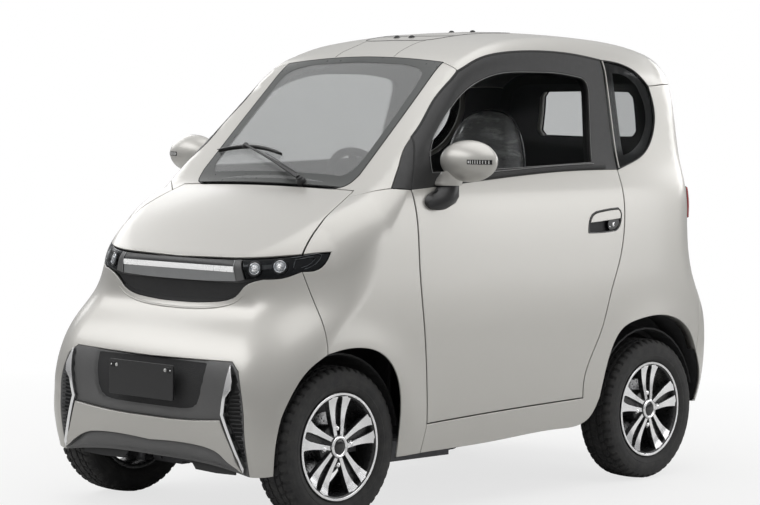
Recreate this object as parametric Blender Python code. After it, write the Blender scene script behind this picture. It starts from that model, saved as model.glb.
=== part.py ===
"""City car: a small electric car with two doors, a driver's seat and a rear bench.

Everything is modelled about the middle of the wheelbase, on the ground: X to the car's left, -Y to the
front, +Z up. An empty then carries the whole car so that the middle of its length stands at the origin.
The outer skin is one smooth surface, given by a few profiles, and each panel is a piece of that surface
between seams, with its thickness going inwards.
"""
import math

import bmesh
import bpy
import numpy as np
from mathutils import Vector
from mathutils.geometry import delaunay_2d_cdt

# ---------------------------------------------------------------- driving dimensions (metres)
WHEELBASE = 1.586
WHEEL_X = 0.475                 # middle plane of each tyre
TYRE_RADIUS = 0.250
TYRE_WIDTH = 0.145
RIM_RADIUS = 0.1695             # outer edge of the rim flange
KINGPIN_X = 0.438
FRONT_OVERHANG = 0.352          # front axle to the front plate
REAR_OVERHANG = 0.4309          # rear axle to the rear bumper
AXLE_Y = WHEELBASE / 2
FRONT, REAR = -AXLE_Y, AXLE_Y   # stations of the axles
NOSE, TAIL = FRONT - FRONT_OVERHANG, REAR + REAR_OVERHANG

FIT = 0.0003                    # gap between pieces that touch
SEAM = 0.0009                   # gap between fixed panels, which seat on each other
LOOSE_SEAM = 0.0022             # gap where a seam bends and the panels' edges twist
CORNER_SEAM = 0.0035            # gap round the windscreen's lower corners, which bend most
LID_GAP = 0.0085                # gap round doors and lids
FRAME_GAP = 0.0164              # gap round the window frames and the doors' leading edges, which swing inwards
HINGE_GAP = 0.017               # gap along the bonnet's hinge edge
HATCH_GAP = 0.021               # and along the tailgate's, whose seam is curved

SKIN = 0.006                    # fenders, so that a door's leading edge swings in behind them
BUMPER = 0.009
WALL = 0.045                    # body sides and doors, skin to trim
DOOR_FLANGE = 0.008             # the door's leading edge, in front of its hinges
ROOF = 0.030
LID = 0.020
HATCH = 0.040
GLASS = 0.005

DOOR_AXIS_X = 0.547
DOOR_AXIS_Y = -0.400
KNUCKLE = 0.008                 # radius of a hinge knuckle

RAIL_BOTTOM = TYRE_RADIUS - 0.044
RAIL_TOP = RAIL_BOTTOM + 0.034
FLOOR_Z = RAIL_TOP + FIT
FLOOR = 0.012
FIREWALL_Y = FRONT + TYRE_RADIUS + 0.053
REAR_WALL_Y = REAR - TYRE_RADIUS - 0.091
BOOT_Z = TYRE_RADIUS + 0.170
LINER_RADIUS = TYRE_RADIUS + 0.035

COARSE = 0.095                  # spacing of points inside a panel
EDGE = 0.075                    # spacing of points along a seam

COLOURS = {                     # name: colour, metallic, roughness
    "champagne": ((0.57, 0.56, 0.53), 0.55, 0.35),
    "charcoal": ((0.05, 0.05, 0.055), 0.0, 0.55),
    "black": ((0.015, 0.015, 0.017), 0.0, 0.40),
    "chrome": ((0.80, 0.80, 0.80), 1.0, 0.12),
    "alloy": ((0.62, 0.62, 0.63), 1.0, 0.28),
    "steel": ((0.22, 0.22, 0.23), 0.8, 0.45),
    "rubber": ((0.02, 0.02, 0.02), 0.0, 0.85),
    "glass": ((0.10, 0.11, 0.11), 0.0, 0.05),
    "lamp_red": ((0.35, 0.01, 0.01), 0.0, 0.15),
    "trim": ((0.06, 0.06, 0.065), 0.0, 0.75),
    "seat": ((0.10, 0.10, 0.11), 0.0, 0.80),
}


# ---------------------------------------------------------------- the skin
def spline(rows):
    """Natural cubic spline through rows of (place, value), straight beyond its ends."""
    place, value = np.array(rows, float).T
    last = len(place) - 1
    step = np.diff(place)
    matrix, right = np.eye(last + 1), np.zeros(last + 1)
    for i in range(1, last):
        matrix[i, i - 1:i + 2] = step[i - 1], 2 * (step[i - 1] + step[i]), step[i]
        right[i] = 6 * ((value[i + 1] - value[i]) / step[i] - (value[i] - value[i - 1]) / step[i - 1])
    bend = np.linalg.solve(matrix, right)

    def at(where):
        where = np.asarray(where, float)
        inside = np.clip(where, place[0], place[-1])
        i = np.clip(np.searchsorted(place, inside) - 1, 0, last - 1)
        low, high, k = inside - place[i], place[i + 1] - inside, step[i]
        curve = (bend[i] * high ** 3 + bend[i + 1] * low ** 3) / (6 * k)
        curve = curve + (value[i] / k - bend[i] * k / 6) * high + (value[i + 1] / k - bend[i + 1] * k / 6) * low
        slope = np.where(where < place[0],
                         (value[1] - value[0]) / step[0] - step[0] * bend[1] / 6,
                         (value[-1] - value[-2]) / step[-1] + step[-1] * bend[-2] / 6)
        return curve + slope * (where - inside)

    return at


# height, half width half way along the car
side_width = spline([(0.15, 0.536), (0.30, 0.560), (0.45, 0.574), (0.62, 0.579), (0.80, 0.574), (0.95, 0.567),
                     (1.04, 0.553), (1.12, 0.524), (1.25, 0.492), (1.36, 0.472), (1.48, 0.450), (1.62, 0.420)])
# station along the car, what the half width gains there
plan_taper = spline([(FRONT - 0.407, -0.020), (FRONT - 0.207, -0.010), (FRONT + 0.003, -0.004), (-0.40, 0.000),
                     (0.00, 0.000), (0.50, 0.000), (REAR + 0.007, -0.005), (REAR + 0.207, -0.016),
                     (REAR + 0.457, -0.040)])
# station, height of the middle of the bonnet and of the roof
bonnet_line = spline([(FRONT - 0.407, 0.708), (FRONT - 0.207, 0.823), (FRONT - 0.007, 0.951), (-0.60, 1.049),
                      (-0.30, 1.150)])
roof_line = spline([(-0.30, 1.435), (-0.15, 1.490), (0.00, 1.543), (0.20, 1.575), (0.45, 1.587), (0.70, 1.580),
                    (REAR + 0.107, 1.557), (REAR + 0.257, 1.518), (REAR + 0.407, 1.450)])
# height, how far the middle of the nose lies behind the plate and that of the tail ahead of the car's end
nose_line = spline([(0.10, 0.115), (0.19, 0.075), (0.30, 0.037), (0.42, 0.022), (0.52, 0.044), (0.60, 0.095),
                    (0.68, 0.151), (0.76, 0.151), (0.83, 0.142), (0.95, 0.145)])
tail_line = spline([(0.15, 0.0839), (0.25, 0.0339), (0.35, 0.0059), (0.50, 0.0019), (0.60, 0.0259), (0.70, 0.0839),
                    (0.80, 0.1189), (1.00, 0.1239), (1.25, 0.1119), (1.40, 0.1219), (1.55, 0.1689)])
# height, radius in plan of the front corners
nose_corner = spline([(0.20, 0.12), (0.35, 0.14), (0.50, 0.18), (0.65, 0.21), (0.78, 0.32), (1.00, 0.34)])
TAIL_CORNER = 0.135
SCREEN_FOOT_Y, SCREEN_FOOT_Z, SCREEN_SLOPE = -0.596, 1.052, 0.985
HALF_GLASS = 0.36               # half width of the windscreen, over which the crowns are given


def round_max(a, b, radius):
    """Greater of two distances, with the corner between their surfaces rounded."""
    both = np.hypot(np.maximum(a + radius, 0), np.maximum(b + radius, 0))
    return np.minimum(-radius, np.maximum(a, b)) + both


def soft_max(a, b, blend):
    overlap = np.maximum(blend - np.abs(a - b), 0) / blend
    return np.maximum(a, b) + overlap * overlap * blend / 4


def wheel_flare(y, z):
    """How far the side swells round the two arches."""
    swell = 0.0
    for axle, height in ((FRONT, 0.008), (REAR, 0.006)):
        ring = (np.hypot(y - axle, z - TYRE_RADIUS) - 0.30) / 0.07
        swell = swell + height * np.exp(-ring ** 2)
    return swell


def top_height(x, y):
    crown = (x / HALF_GLASS) ** 2
    bonnet = bonnet_line(y) - 0.006 * crown
    along = np.clip((y - SCREEN_FOOT_Y) / 0.45, 0, 1)
    screen = SCREEN_FOOT_Z + SCREEN_SLOPE * (y - SCREEN_FOOT_Y) - (0.010 + 0.011 * along) * crown
    roof = roof_line(y) - 0.022 * crown
    return soft_max(bonnet, -soft_max(-screen, -roof, 0.03), 0.02)


def skin_distance(points):
    """Roughly the distance from the body's outer surface, negative inside."""
    x, y, z = np.abs(points[..., 0]), points[..., 1], points[..., 2]
    lip = 0.030 * (x / 0.42) ** 2 * np.clip((0.36 - z) / 0.2, 0, 1)
    side = x - (side_width(z) + plan_taper(y) + wheel_flare(y, z))
    nose = NOSE + nose_line(z) + 0.006 * (x / HALF_GLASS) ** 2 - lip - y
    tail = y - TAIL + tail_line(z) + 0.022 * (x / 0.45) ** 2
    top = (z - top_height(x, y)) * 0.75
    plan = round_max(round_max(side, nose, nose_corner(z)), tail, TAIL_CORNER)
    # station, radius of the edge between side and top
    edge = np.interp(y, [NOSE + 0.145, NOSE + 0.205, FRONT - 0.007, -0.62, -0.50, -0.20, 0.00, 0.30, 1.00],
                     [0.02, 0.05, 0.11, 0.10, 0.04, 0.035, 0.05, 0.07, 0.10])
    return round_max(plan, top, edge)


def skin_normal(points):
    step = 1e-4
    slope = [skin_distance(points + step * axis) - skin_distance(points - step * axis) for axis in np.eye(3)]
    slope = np.stack(slope, axis=-1)
    return slope / np.linalg.norm(slope, axis=-1, keepdims=True)


def cast(origins, directions):
    """Where rays from inside the car meet its skin."""
    near, far = np.zeros(len(origins)), np.full(len(origins), 1.6)
    for _ in range(40):
        middle = (near + far) / 2
        inside = skin_distance(origins + middle[:, None] * directions) < 0
        near, far = np.where(inside, middle, near), np.where(inside, far, middle)
    return origins + near[:, None] * directions


def seat_on_skin(points):
    for _ in range(3):
        points = points - skin_distance(points)[:, None] * skin_normal(points)
    return points


# ---------------------------------------------------------------- seams drawn on the skin
def smooth_rows(rows, spacing=EDGE):
    """Evenly spaced points on a smooth curve through a few rows of two coordinates."""
    rows = np.array(rows, float)
    length = np.concatenate([[0], np.cumsum(np.linalg.norm(np.diff(rows, axis=0), axis=1))])
    count = max(2, int(math.ceil(length[-1] / spacing)) + 1)
    where = np.linspace(0, length[-1], count)
    if len(rows) == 2:
        return rows[0] + (rows[1] - rows[0]) * (where / length[-1])[:, None]
    return np.stack([spline(list(zip(length, column)))(where) for column in rows.T], axis=-1)


def on_side(*rows):
    """A seam from rows of (station, height), on the car's left side."""
    flat = smooth_rows(rows)
    origins = np.column_stack([np.zeros(len(flat)), flat])
    return cast(origins, np.tile([1.0, 0, 0], (len(flat), 1)))


def arch(axle, *rows):
    """Stations and heights round a wheel, from rows of (behind the axle, above the ground) in tyre radii."""
    return [(axle + TYRE_RADIUS * behind, TYRE_RADIUS * above) for behind, above in rows]


def on_top(*rows):
    """A seam from rows of (x, station)."""
    flat = smooth_rows(rows)
    origins = np.column_stack([flat, np.full(len(flat), 0.55)])
    return cast(origins, np.tile([0, 0, 1.0], (len(flat), 1)))


def on_nose(*rows):
    """A seam from rows of (x, height), on the front."""
    flat = smooth_rows(rows)
    origins = np.column_stack([flat[:, 0], np.full(len(flat), -0.6), flat[:, 1]])
    return cast(origins, np.tile([0, -1.0, 0], (len(flat), 1)))


def on_tail(*rows):
    flat = smooth_rows(rows)
    origins = np.column_stack([flat[:, 0], np.full(len(flat), 0.7), flat[:, 1]])
    return cast(origins, np.tile([0, 1.0, 0], (len(flat), 1)))


def other_side(seam):
    return seam[::-1] * [-1, 1, 1]


def between(start, end):
    """The straight seam along the skin between two points on it."""
    count = max(2, int(math.ceil(np.linalg.norm(end - start) / EDGE)) + 1)
    share = np.linspace(0, 1, count)[:, None]
    return seat_on_skin(start + (end - start) * share)


def outline_of(*seams):
    """One closed outline from (seam, gap) pairs laid end to end: its points and each edge's gap."""
    points, gaps = [], []
    for seam, gap in seams:
        for point in seam:
            if points and np.linalg.norm(point - points[-1]) < 0.004:
                gaps[-1] = gap
                continue
            points.append(point)
            gaps.append(gap)
    if np.linalg.norm(points[-1] - points[0]) < 0.004:
        points.pop()
        gaps.pop()
    return np.array(points), np.array(gaps)


def both_sides(*seams):
    """An outline across the car from (seam, gap) pairs that run from its middle, round the left side, to its
    middle again."""
    return outline_of(*seams, *[(other_side(seam), gap) for seam, gap in reversed(seams)])


def shrunk(outline, gaps):
    """The outline moved along the skin to its left, each edge by half its own gap."""
    back = outline - np.roll(outline, 1, axis=0)
    ahead = np.roll(outline, -1, axis=0) - outline
    normal = skin_normal(outline)
    left_back, left_ahead = np.cross(normal, back), np.cross(normal, ahead)
    left_back /= np.linalg.norm(left_back, axis=1, keepdims=True)
    left_ahead /= np.linalg.norm(left_ahead, axis=1, keepdims=True)
    gap_back, gap_ahead = np.roll(gaps, 1) / 2, gaps / 2
    turn = np.clip((left_back * left_ahead).sum(1), -0.6, 1.0)
    square = 1 - turn ** 2
    straight = square < 0.02
    square = np.where(straight, 1.0, square)
    by_back = np.where(straight, gap_back / 2, (gap_back - turn * gap_ahead) / square)
    by_ahead = np.where(straight, gap_ahead / 2, (gap_ahead - turn * gap_back) / square)
    return seat_on_skin(outline + by_back[:, None] * left_back + by_ahead[:, None] * left_ahead)


class Chart:
    """A flat map of part of the skin, seen from a point inside the car along a direction."""

    def __init__(self, centre, towards):
        self.centre = np.array(centre, float)
        self.pole = np.array(towards, float) / np.linalg.norm(towards)
        across = np.cross([0, 0, 1.0], self.pole)
        if np.linalg.norm(across) < 0.1:
            across = np.array([1.0, 0, 0])
        self.right = across / np.linalg.norm(across)
        self.up = np.cross(self.pole, self.right)

    def flat(self, points):
        away = points - self.centre
        away = away / np.linalg.norm(away, axis=1, keepdims=True)
        angle = np.arccos(np.clip(away @ self.pole, -1, 1))
        side = np.stack([away @ self.right, away @ self.up], axis=-1)
        return side / np.maximum(np.linalg.norm(side, axis=1, keepdims=True), 1e-9) * angle[:, None]

    def onto_skin(self, flat):
        angle = np.linalg.norm(flat, axis=1)
        side = flat / np.maximum(angle, 1e-9)[:, None]
        away = np.cos(angle)[:, None] * self.pole
        away = away + np.sin(angle)[:, None] * (side[:, :1] * self.right + side[:, 1:] * self.up)
        return cast(np.tile(self.centre, (len(flat), 1)), away)


def is_inside(points, polygon):
    inside = np.zeros(len(points), bool)
    for a, b in zip(polygon, np.roll(polygon, -1, axis=0)):
        crosses = (a[1] > points[:, 1]) != (b[1] > points[:, 1])
        with np.errstate(divide="ignore", invalid="ignore"):
            at = (b[0] - a[0]) * (points[:, 1] - a[1]) / (b[1] - a[1]) + a[0]
        inside ^= crosses & (points[:, 0] < at)
    return inside


def distance_to(points, polygon):
    best = np.full(len(points), 9.0)
    for a, b in zip(polygon, np.roll(polygon, -1, axis=0)):
        along = np.clip(((points - a) @ (b - a)) / max((b - a) @ (b - a), 1e-12), 0, 1)
        best = np.minimum(best, np.linalg.norm(points - a - along[:, None] * (b - a), axis=1))
    return best


def area(flat):
    following = np.roll(flat, -1, axis=0)
    return 0.5 * float((flat[:, 0] * following[:, 1] - flat[:, 1] * following[:, 0]).sum())


def panel(chart, outline, thick, holes=(), depth=0.0, spacing=COARSE):
    """A closed piece of the skin inside an outline, as (points, faces), its thickness going inwards."""
    rings = []
    for number, (ring, gaps) in enumerate([outline, *holes]):
        counterclockwise = area(chart.flat(ring)) > 0
        if counterclockwise != (number == 0):
            ring, gaps = ring[::-1], np.roll(gaps[::-1], -1)
        rings.append(shrunk(ring, gaps))
    flats = [chart.flat(ring) for ring in rings]
    reach = float(np.mean([np.linalg.norm(ring - chart.centre, axis=1).mean() for ring in rings]))
    step = spacing / reach
    low, high = flats[0].min(0), flats[0].max(0)
    counts = np.maximum(np.round((high - low) / step).astype(int), 1)
    axes = [low[k] + (np.arange(counts[k]) + 0.5) * (high[k] - low[k]) / counts[k] for k in (0, 1)]
    grid = np.stack(np.meshgrid(*axes), axis=-1).reshape(-1, 2)
    keep = is_inside(grid, flats[0]) & (distance_to(grid, flats[0]) > 0.45 * step)
    for flat in flats[1:]:
        keep &= ~is_inside(grid, flat) & (distance_to(grid, flat) > 0.45 * step)
    grid = grid[keep]
    edges, start = [], 0
    for flat in flats:
        edges += [(start + i, start + (i + 1) % len(flat)) for i in range(len(flat))]
        start += len(flat)
    flat_points = np.concatenate([*flats, grid])
    surface = np.concatenate([*rings, chart.onto_skin(grid)]) if len(grid) else np.concatenate(rings)
    found = delaunay_2d_cdt([Vector(p) for p in flat_points], edges, [], 1, 1e-7)
    source = [min(old) for old in found[3]]
    triangles = np.array([[source[v] for v in face] for face in found[2]])
    middles = flat_points[triangles].mean(1)
    inside = is_inside(middles, flats[0])
    for flat in flats[1:]:
        inside &= ~is_inside(middles, flat)
    triangles = triangles[inside]
    normal = skin_normal(surface)
    outer, inner = surface - normal * depth, surface - normal * (depth + thick)
    count = len(surface)
    faces = [tuple(t) for t in triangles] + [tuple(v + count for v in t[::-1]) for t in triangles]
    directed = {(t[i], t[(i + 1) % 3]) for t in triangles for i in range(3)}
    faces += [(b, a, a + count, b + count) for a, b in directed if (b, a) not in directed]
    return np.concatenate([outer, inner]), faces


# ---------------------------------------------------------------- simple solids, as (points, faces)
def box(x, y, z):
    corners = np.array([(a, b, c) for c in z for b in y for a in x], float)
    return corners, [(0, 2, 3, 1), (4, 5, 7, 6), (0, 1, 5, 4), (2, 6, 7, 3), (0, 4, 6, 2), (1, 3, 7, 5)]


def prism(outline, low, high, axis="x"):
    """A solid between two planes across an axis; the outline is rows in the other two, in order."""
    flat = np.array(outline, float)
    order = {"x": (1, 2), "y": (2, 0), "z": (0, 1)}[axis]
    if area(flat[:, [0, 1]] if axis != "y" else flat[:, [1, 0]]) < 0:
        flat = flat[::-1]
    points = np.zeros((2 * len(flat), 3))
    columns = order if axis != "y" else (0, 2)
    for half, level in enumerate((low, high)):
        rows = slice(half * len(flat), (half + 1) * len(flat))
        points[rows, "xyz".index(axis)] = level
        points[rows, columns[0]], points[rows, columns[1]] = flat[:, 0], flat[:, 1]
    count = len(flat)
    faces = [tuple(range(count))[::-1], tuple(range(count, 2 * count))]
    faces += [(i, (i + 1) % count, (i + 1) % count + count, i + count) for i in range(count)]
    return points, faces


def rod(start, end, radius, sides=10, end_radius=None):
    start, end = np.array(start, float), np.array(end, float)
    along = (end - start) / np.linalg.norm(end - start)
    across = np.cross(along, [0, 0, 1.0] if abs(along[2]) < 0.9 else [1.0, 0, 0])
    across /= np.linalg.norm(across)
    other = np.cross(along, across)
    turn = 2 * math.pi * np.arange(sides) / sides
    ring = np.cos(turn)[:, None] * across + np.sin(turn)[:, None] * other
    end_radius = radius if end_radius is None else end_radius
    points = np.concatenate([start + radius * ring, end + end_radius * ring])
    faces = [tuple(range(sides))[::-1], tuple(range(sides, 2 * sides))]
    faces += [(i, (i + 1) % sides, (i + 1) % sides + sides, i + sides) for i in range(sides)]
    return points, faces


def turned(profile, centre, sides, sweep=(0.0, 360.0)):
    """A closed profile of (along X, radius) rows turned about an axle at the centre."""
    whole = abs(sweep[1] - sweep[0]) >= 360
    count = sides if whole else sides + 1
    turn = np.radians(np.linspace(sweep[0], sweep[1], sides + 1)[:count])
    profile = np.array(profile, float)
    points = np.array([(centre[0] + x, centre[1] + r * math.cos(a), centre[2] + r * math.sin(a))
                       for a in turn for x, r in profile])
    size = len(profile)
    faces = []
    for i in range(sides):
        for j in range(size):
            k = (j + 1) % size
            a, b = i * size, ((i + 1) % count) * size
            faces.append((a + j, a + k, b + k, b + j))
    if not whole:
        faces += [tuple(range(size))[::-1], tuple(range(len(points) - size, len(points)))]
    return points, faces


def mirrored(solid):
    points, faces = solid
    return points * [-1, 1, 1], [tuple(face)[::-1] for face in faces]


def mesh_of(name, solid):
    points, faces = solid
    mesh = bpy.data.meshes.new(name)
    mesh.from_pydata([tuple(p) for p in points], [], [tuple(int(v) for v in face) for face in faces])
    work = bmesh.new()
    work.from_mesh(mesh)
    bmesh.ops.remove_doubles(work, verts=work.verts, dist=1e-6)
    bmesh.ops.recalc_face_normals(work, faces=work.faces)
    bmesh.ops.triangulate(work, faces=[face for face in work.faces if len(face.verts) > 3])
    work.to_mesh(mesh)
    work.free()
    return mesh


def joined(solids, cuts=()):
    """One solid: the union of several, less others, as (points, faces)."""
    first = bpy.data.objects.new("work", mesh_of("work", solids[0]))
    bpy.context.scene.collection.objects.link(first)
    used = [first]
    for operation, others in (("UNION", solids[1:]), ("DIFFERENCE", cuts)):
        for solid in others:
            tool = bpy.data.objects.new("tool", mesh_of("tool", solid))
            bpy.context.scene.collection.objects.link(tool)
            used.append(tool)
            cut = first.modifiers.new("cut", "BOOLEAN")
            cut.operation, cut.object, cut.solver = operation, tool, "EXACT"
    graph = bpy.context.evaluated_depsgraph_get()
    graph.update()
    result = bpy.data.meshes.new_from_object(first.evaluated_get(graph))
    points = np.array([v.co for v in result.vertices])
    faces = [tuple(p.vertices) for p in result.polygons]
    bpy.data.meshes.remove(result)
    for item in used:
        mesh = item.data
        bpy.data.objects.remove(item)
        bpy.data.meshes.remove(mesh)
    return points, faces


# ---------------------------------------------------------------- objects
def material(name):
    made = bpy.data.materials.get(name)
    if made:
        return made
    colour, metallic, roughness = COLOURS[name]
    made = bpy.data.materials.new(name)
    made.use_nodes = True
    shader = made.node_tree.nodes["Principled BSDF"]
    shader.inputs["Base Color"].default_value = (*colour, 1)
    shader.inputs["Metallic"].default_value = metallic
    shader.inputs["Roughness"].default_value = roughness
    made.diffuse_color = (*colour, 1)
    return made


def place(name, solid, colour, pivot=None, smooth=True):
    """One named piece of the car; a moving piece has its origin at its pivot."""
    points, faces = solid
    origin = np.zeros(3) if pivot is None else np.array(pivot, float)
    mesh = mesh_of(name, (points - origin, faces))
    mesh.materials.append(material(colour))
    if smooth:
        mesh.shade_smooth()
        mesh.set_sharp_from_angle(angle=math.radians(35))
    piece = bpy.data.objects.new(name, mesh)
    piece.location = origin
    piece.parent = bpy.data.objects["wheelbase_middle"]
    bpy.context.scene.collection.objects.link(piece)
    return piece


def pair(name, solid, colour, pivot=None):
    """The same piece on the car's left and right."""
    place(name + "_left", solid, colour, pivot)
    other = None if pivot is None else np.array(pivot) * [-1, 1, 1]
    place(name + "_right", mirrored(solid), colour, other)


# ---------------------------------------------------------------- seams shared by neighbouring panels (left)
def draw_seams():
    """Each seam once, by name. Rows are (station, height) on the side, (x, station) on top and (x, height)
    on the nose and tail."""
    s = {}
    s["bonnet_back"] = on_top((0.000, -0.606), (HALF_GLASS - 0.050, -0.606))
    s["bonnet_corner"] = on_top((HALF_GLASS - 0.050, -0.606), (0.400, -0.606))
    s["bonnet_pillar"] = on_top((0.400, -0.606), (0.412, -0.650))
    s["bonnet_fender"] = on_top((0.412, -0.650), (0.424, (FRONT - 0.007 - 2 * 0.650) / 3), (0.440, FRONT - 0.007),
                                (0.458, FRONT - 0.105))
    lamp_top = s["bonnet_fender"][-1]
    s["bonnet_nose"] = on_nose((lamp_top[0], lamp_top[2]), (0.357, 0.836), (0.180, 0.829), (0.000, 0.825))
    s["screen_corner"] = on_top((HALF_GLASS - 0.050, -0.606), (HALF_GLASS - 0.020, -0.588), (HALF_GLASS - 0.008, -0.545))
    s["screen_side"] = on_top((HALF_GLASS - 0.008, -0.545), (HALF_GLASS - 0.002, -0.350), (HALF_GLASS - 0.004, -0.150))
    s["screen_top"] = on_top((HALF_GLASS - 0.004, -0.150), (0.200, -0.152), (0.000, -0.152))
    s["frame_front"] = on_side((-0.497, 1.046), (-0.452, 1.130), (-0.408, 1.213))
    s["frame_pillar"] = on_side((-0.408, 1.213), (-0.366, 1.252), (-0.253, 1.361), (-0.165, 1.432))
    s["frame_roof"] = on_side((-0.165, 1.432), (-0.046, 1.478), (0.059, 1.498), (0.200, 1.509), (0.331, 1.511),
                              (0.460, 1.505), (0.592, 1.490))
    s["pillar_roof"] = between(s["frame_pillar"][-1], s["screen_side"][-1])
    s["triangle_front"] = on_side((-0.558, 1.050), (-0.483, 1.139), (-0.408, 1.213))
    s["pillar_foot"] = between(s["bonnet_pillar"][-1], s["triangle_front"][0])
    s["triangle_foot"] = on_side((-0.558, 1.050), (-0.497, 1.046))
    s["door_front"] = on_side((-0.497, 1.046), (-0.484, 0.950), (-0.476, 0.800), (-0.454, 0.600), (-0.430, 0.400),
                              (-0.417, 0.294))
    s["door_foot"] = on_side((-0.417, 0.294), (-0.058, 0.309), (0.379, 0.321))
    s["door_back"] = on_side((0.379, 0.321), (0.375, 0.380), (0.408, 0.469), (0.450, 0.540), (0.510, 0.690),
                             (0.560, 0.800), (0.584, 0.900), (0.591, 1.000), (0.591, 1.107))
    s["frame_back"] = on_side((0.591, 1.107), (0.594, 1.300), (0.592, 1.490))
    s["belt"] = on_side((0.591, 1.107), (0.320, 1.103), (0.052, 1.088), (-0.269, 1.063), (-0.497, 1.046))
    s["sill_front"] = on_side((-0.417, 0.294), (-0.433, 0.200))
    behind = arch(FRONT, (0.988, 0.788), (0.980, 1.200), (0.924, 1.640), (0.796, 1.928), (0.572, 2.132), (0.192, 2.236),
                  (-0.148, 2.228), (-0.400, 2.184))
    before = arch(FRONT, (-0.400, 2.184), (-0.668, 2.024), (-0.900, 1.720), (-1.028, 1.380), (-1.060, 1.040),
                  (-1.028, 0.712))
    s["fender_foot"] = on_side((-0.433, 0.200), behind[0])
    s["front_arch"] = on_side(*behind)
    s["nose_arch"] = on_side(*before)
    s["nose_fender"] = on_side(before[0], (FRONT - 0.099, 0.606), (FRONT - 0.095, 0.700), (FRONT - 0.104, 0.795))
    s["lamp_tip"] = on_side((FRONT - 0.104, 0.795), (FRONT - 0.069, 0.808), (FRONT - 0.039, 0.856))
    s["lamp_roof"] = between(s["lamp_tip"][-1], lamp_top)
    lamp_heel = s["lamp_tip"][0]
    s["lamp_foot"] = on_nose((lamp_heel[0], lamp_heel[2]), (0.430, 0.776), (0.370, 0.768))
    s["recess_top"] = on_nose((0.370, 0.768), (0.300, 0.753), (0.180, 0.748), (0.000, 0.748))
    s["recess_foot"] = on_nose((0.370, 0.768), (0.310, 0.732), (0.235, 0.706), (0.100, 0.689), (0.000, 0.687))
    s["insert_top"] = on_nose((0.000, 0.513), (0.180, 0.516), (0.367, 0.520))
    s["insert_corner"] = on_nose((0.367, 0.520), (0.402, 0.494))
    s["insert_side"] = on_nose((0.402, 0.494), (0.427, 0.423), (0.437, 0.320), (0.438, 0.240), (0.436, 0.170))
    s["insert_foot"] = on_nose((0.436, 0.170), (0.300, 0.186), (0.000, 0.192))
    s["nose_foot"] = between(s["nose_arch"][-1], s["insert_foot"][0])
    before = arch(REAR, (-1.456, 1.004), (-1.304, 1.272), (-1.148, 1.852), (-0.900, 2.192), (-0.496, 2.324),
                  (0.028, 2.360), (0.500, 2.260), (0.784, 2.072), (0.968, 1.796))
    behind = arch(REAR, (0.968, 1.796), (1.128, 1.480), (1.180, 1.264), (1.128, 1.048))
    s["sill_foot"] = on_side((-0.433, 0.200), (-0.038, 0.209), (0.275, 0.221), *before[:2])
    s["rear_arch"] = on_side(*before[1:])
    s["tail_arch"] = on_side(*behind)
    s["tail_quarter"] = on_side(behind[0], (REAR + 0.262, 0.550), (REAR + 0.277, 0.640), (REAR + 0.292, 0.700))
    s["hatch_foot"] = on_tail((0.430, 0.712), (0.000, 0.712))
    s["tail_corner"] = between(s["tail_quarter"][-1], s["hatch_foot"][0])
    s["hatch_quarter"] = on_tail((0.430, 0.712), (0.430, 0.900), (0.425, 1.100), (0.410, 1.280), (0.378, 1.405))
    s["hatch_roof"] = on_tail((0.378, 1.405), (0.325, 1.438), (0.200, 1.452), (0.000, 1.455))
    s["tail_foot"] = between(s["tail_arch"][-1], on_tail((0.400, 0.245), (0.0, 0.245))[0])
    s["tail_foot_middle"] = on_tail((0.400, 0.245), (0.000, 0.245))
    s["quarter_roof"] = on_side((0.592, 1.490), (0.711, 1.479), (0.789, 1.453), (0.852, 1.404))
    s["quarter_back"] = on_side((0.852, 1.404), (0.872, 1.319), (0.842, 1.229), (0.778, 1.168), (0.674, 1.129),
                                (0.591, 1.107))
    s["roof_tail"] = between(s["quarter_roof"][-1], s["hatch_quarter"][-1])
    return s


SEAMS = draw_seams()
LEFT_SIDE = Chart((0.0, 0.10, 0.75), (1, 0, 0))


def seam(name, back=False):
    return SEAMS[name][::-1] if back else SEAMS[name]


# ---------------------------------------------------------------- body
def make_nose():
    chart = Chart((0, -0.65, 0.50), (0, -1, 0))
    bumper = both_sides((seam("recess_foot", True), LID_GAP), (seam("lamp_foot", True), SEAM),
                        (seam("nose_fender", True), SEAM), (seam("nose_arch"), 0.0), (seam("nose_foot"), 0.0),
                        (seam("insert_side", True), SEAM), (seam("insert_corner", True), SEAM),
                        (seam("insert_top", True), SEAM))
    place("front_bumper", panel(chart, bumper, BUMPER), "champagne")
    insert = both_sides((seam("insert_top"), SEAM), (seam("insert_corner"), SEAM), (seam("insert_side"), SEAM),
                        (seam("insert_foot"), 0.0))
    place("bumper_insert", panel(chart, insert, BUMPER), "charcoal")
    room = panel(chart, insert, 0.080, depth=-FIT)
    lip = both_sides((on_nose((0.000, 0.326), (0.315, 0.336)), 0.0), (on_nose((0.315, 0.336), (0.410, 0.195)), 0.0),
                     (on_nose((0.410, 0.195), (0.330, 0.222), (0.000, 0.250)), 0.0))
    place("bumper_lip", joined([panel(chart, lip, 0.030, depth=-0.014)], cuts=[room]), "champagne")
    lamps = both_sides((seam("bonnet_nose", True), LID_GAP), (seam("lamp_roof", True), LOOSE_SEAM),
                       (seam("lamp_tip", True), SEAM), (seam("lamp_foot"), SEAM), (seam("recess_top"), FIT))
    recess = both_sides((seam("recess_top", True), -0.008), (seam("recess_foot"), SEAM))
    place("headlamp_unit", joined([panel(chart, lamps, 0.050, depth=0.002),
                                   panel(chart, recess, 0.012, depth=0.030)]), "black")
    plate = joined([box((-0.152, 0.152), (NOSE, NOSE + 0.010), (0.384, 0.495)),
                    box((-0.100, 0.100), (NOSE + 0.009, NOSE + 0.040), (0.400, 0.450))], cuts=[room])
    place("number_plate", plate, "black")


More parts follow.
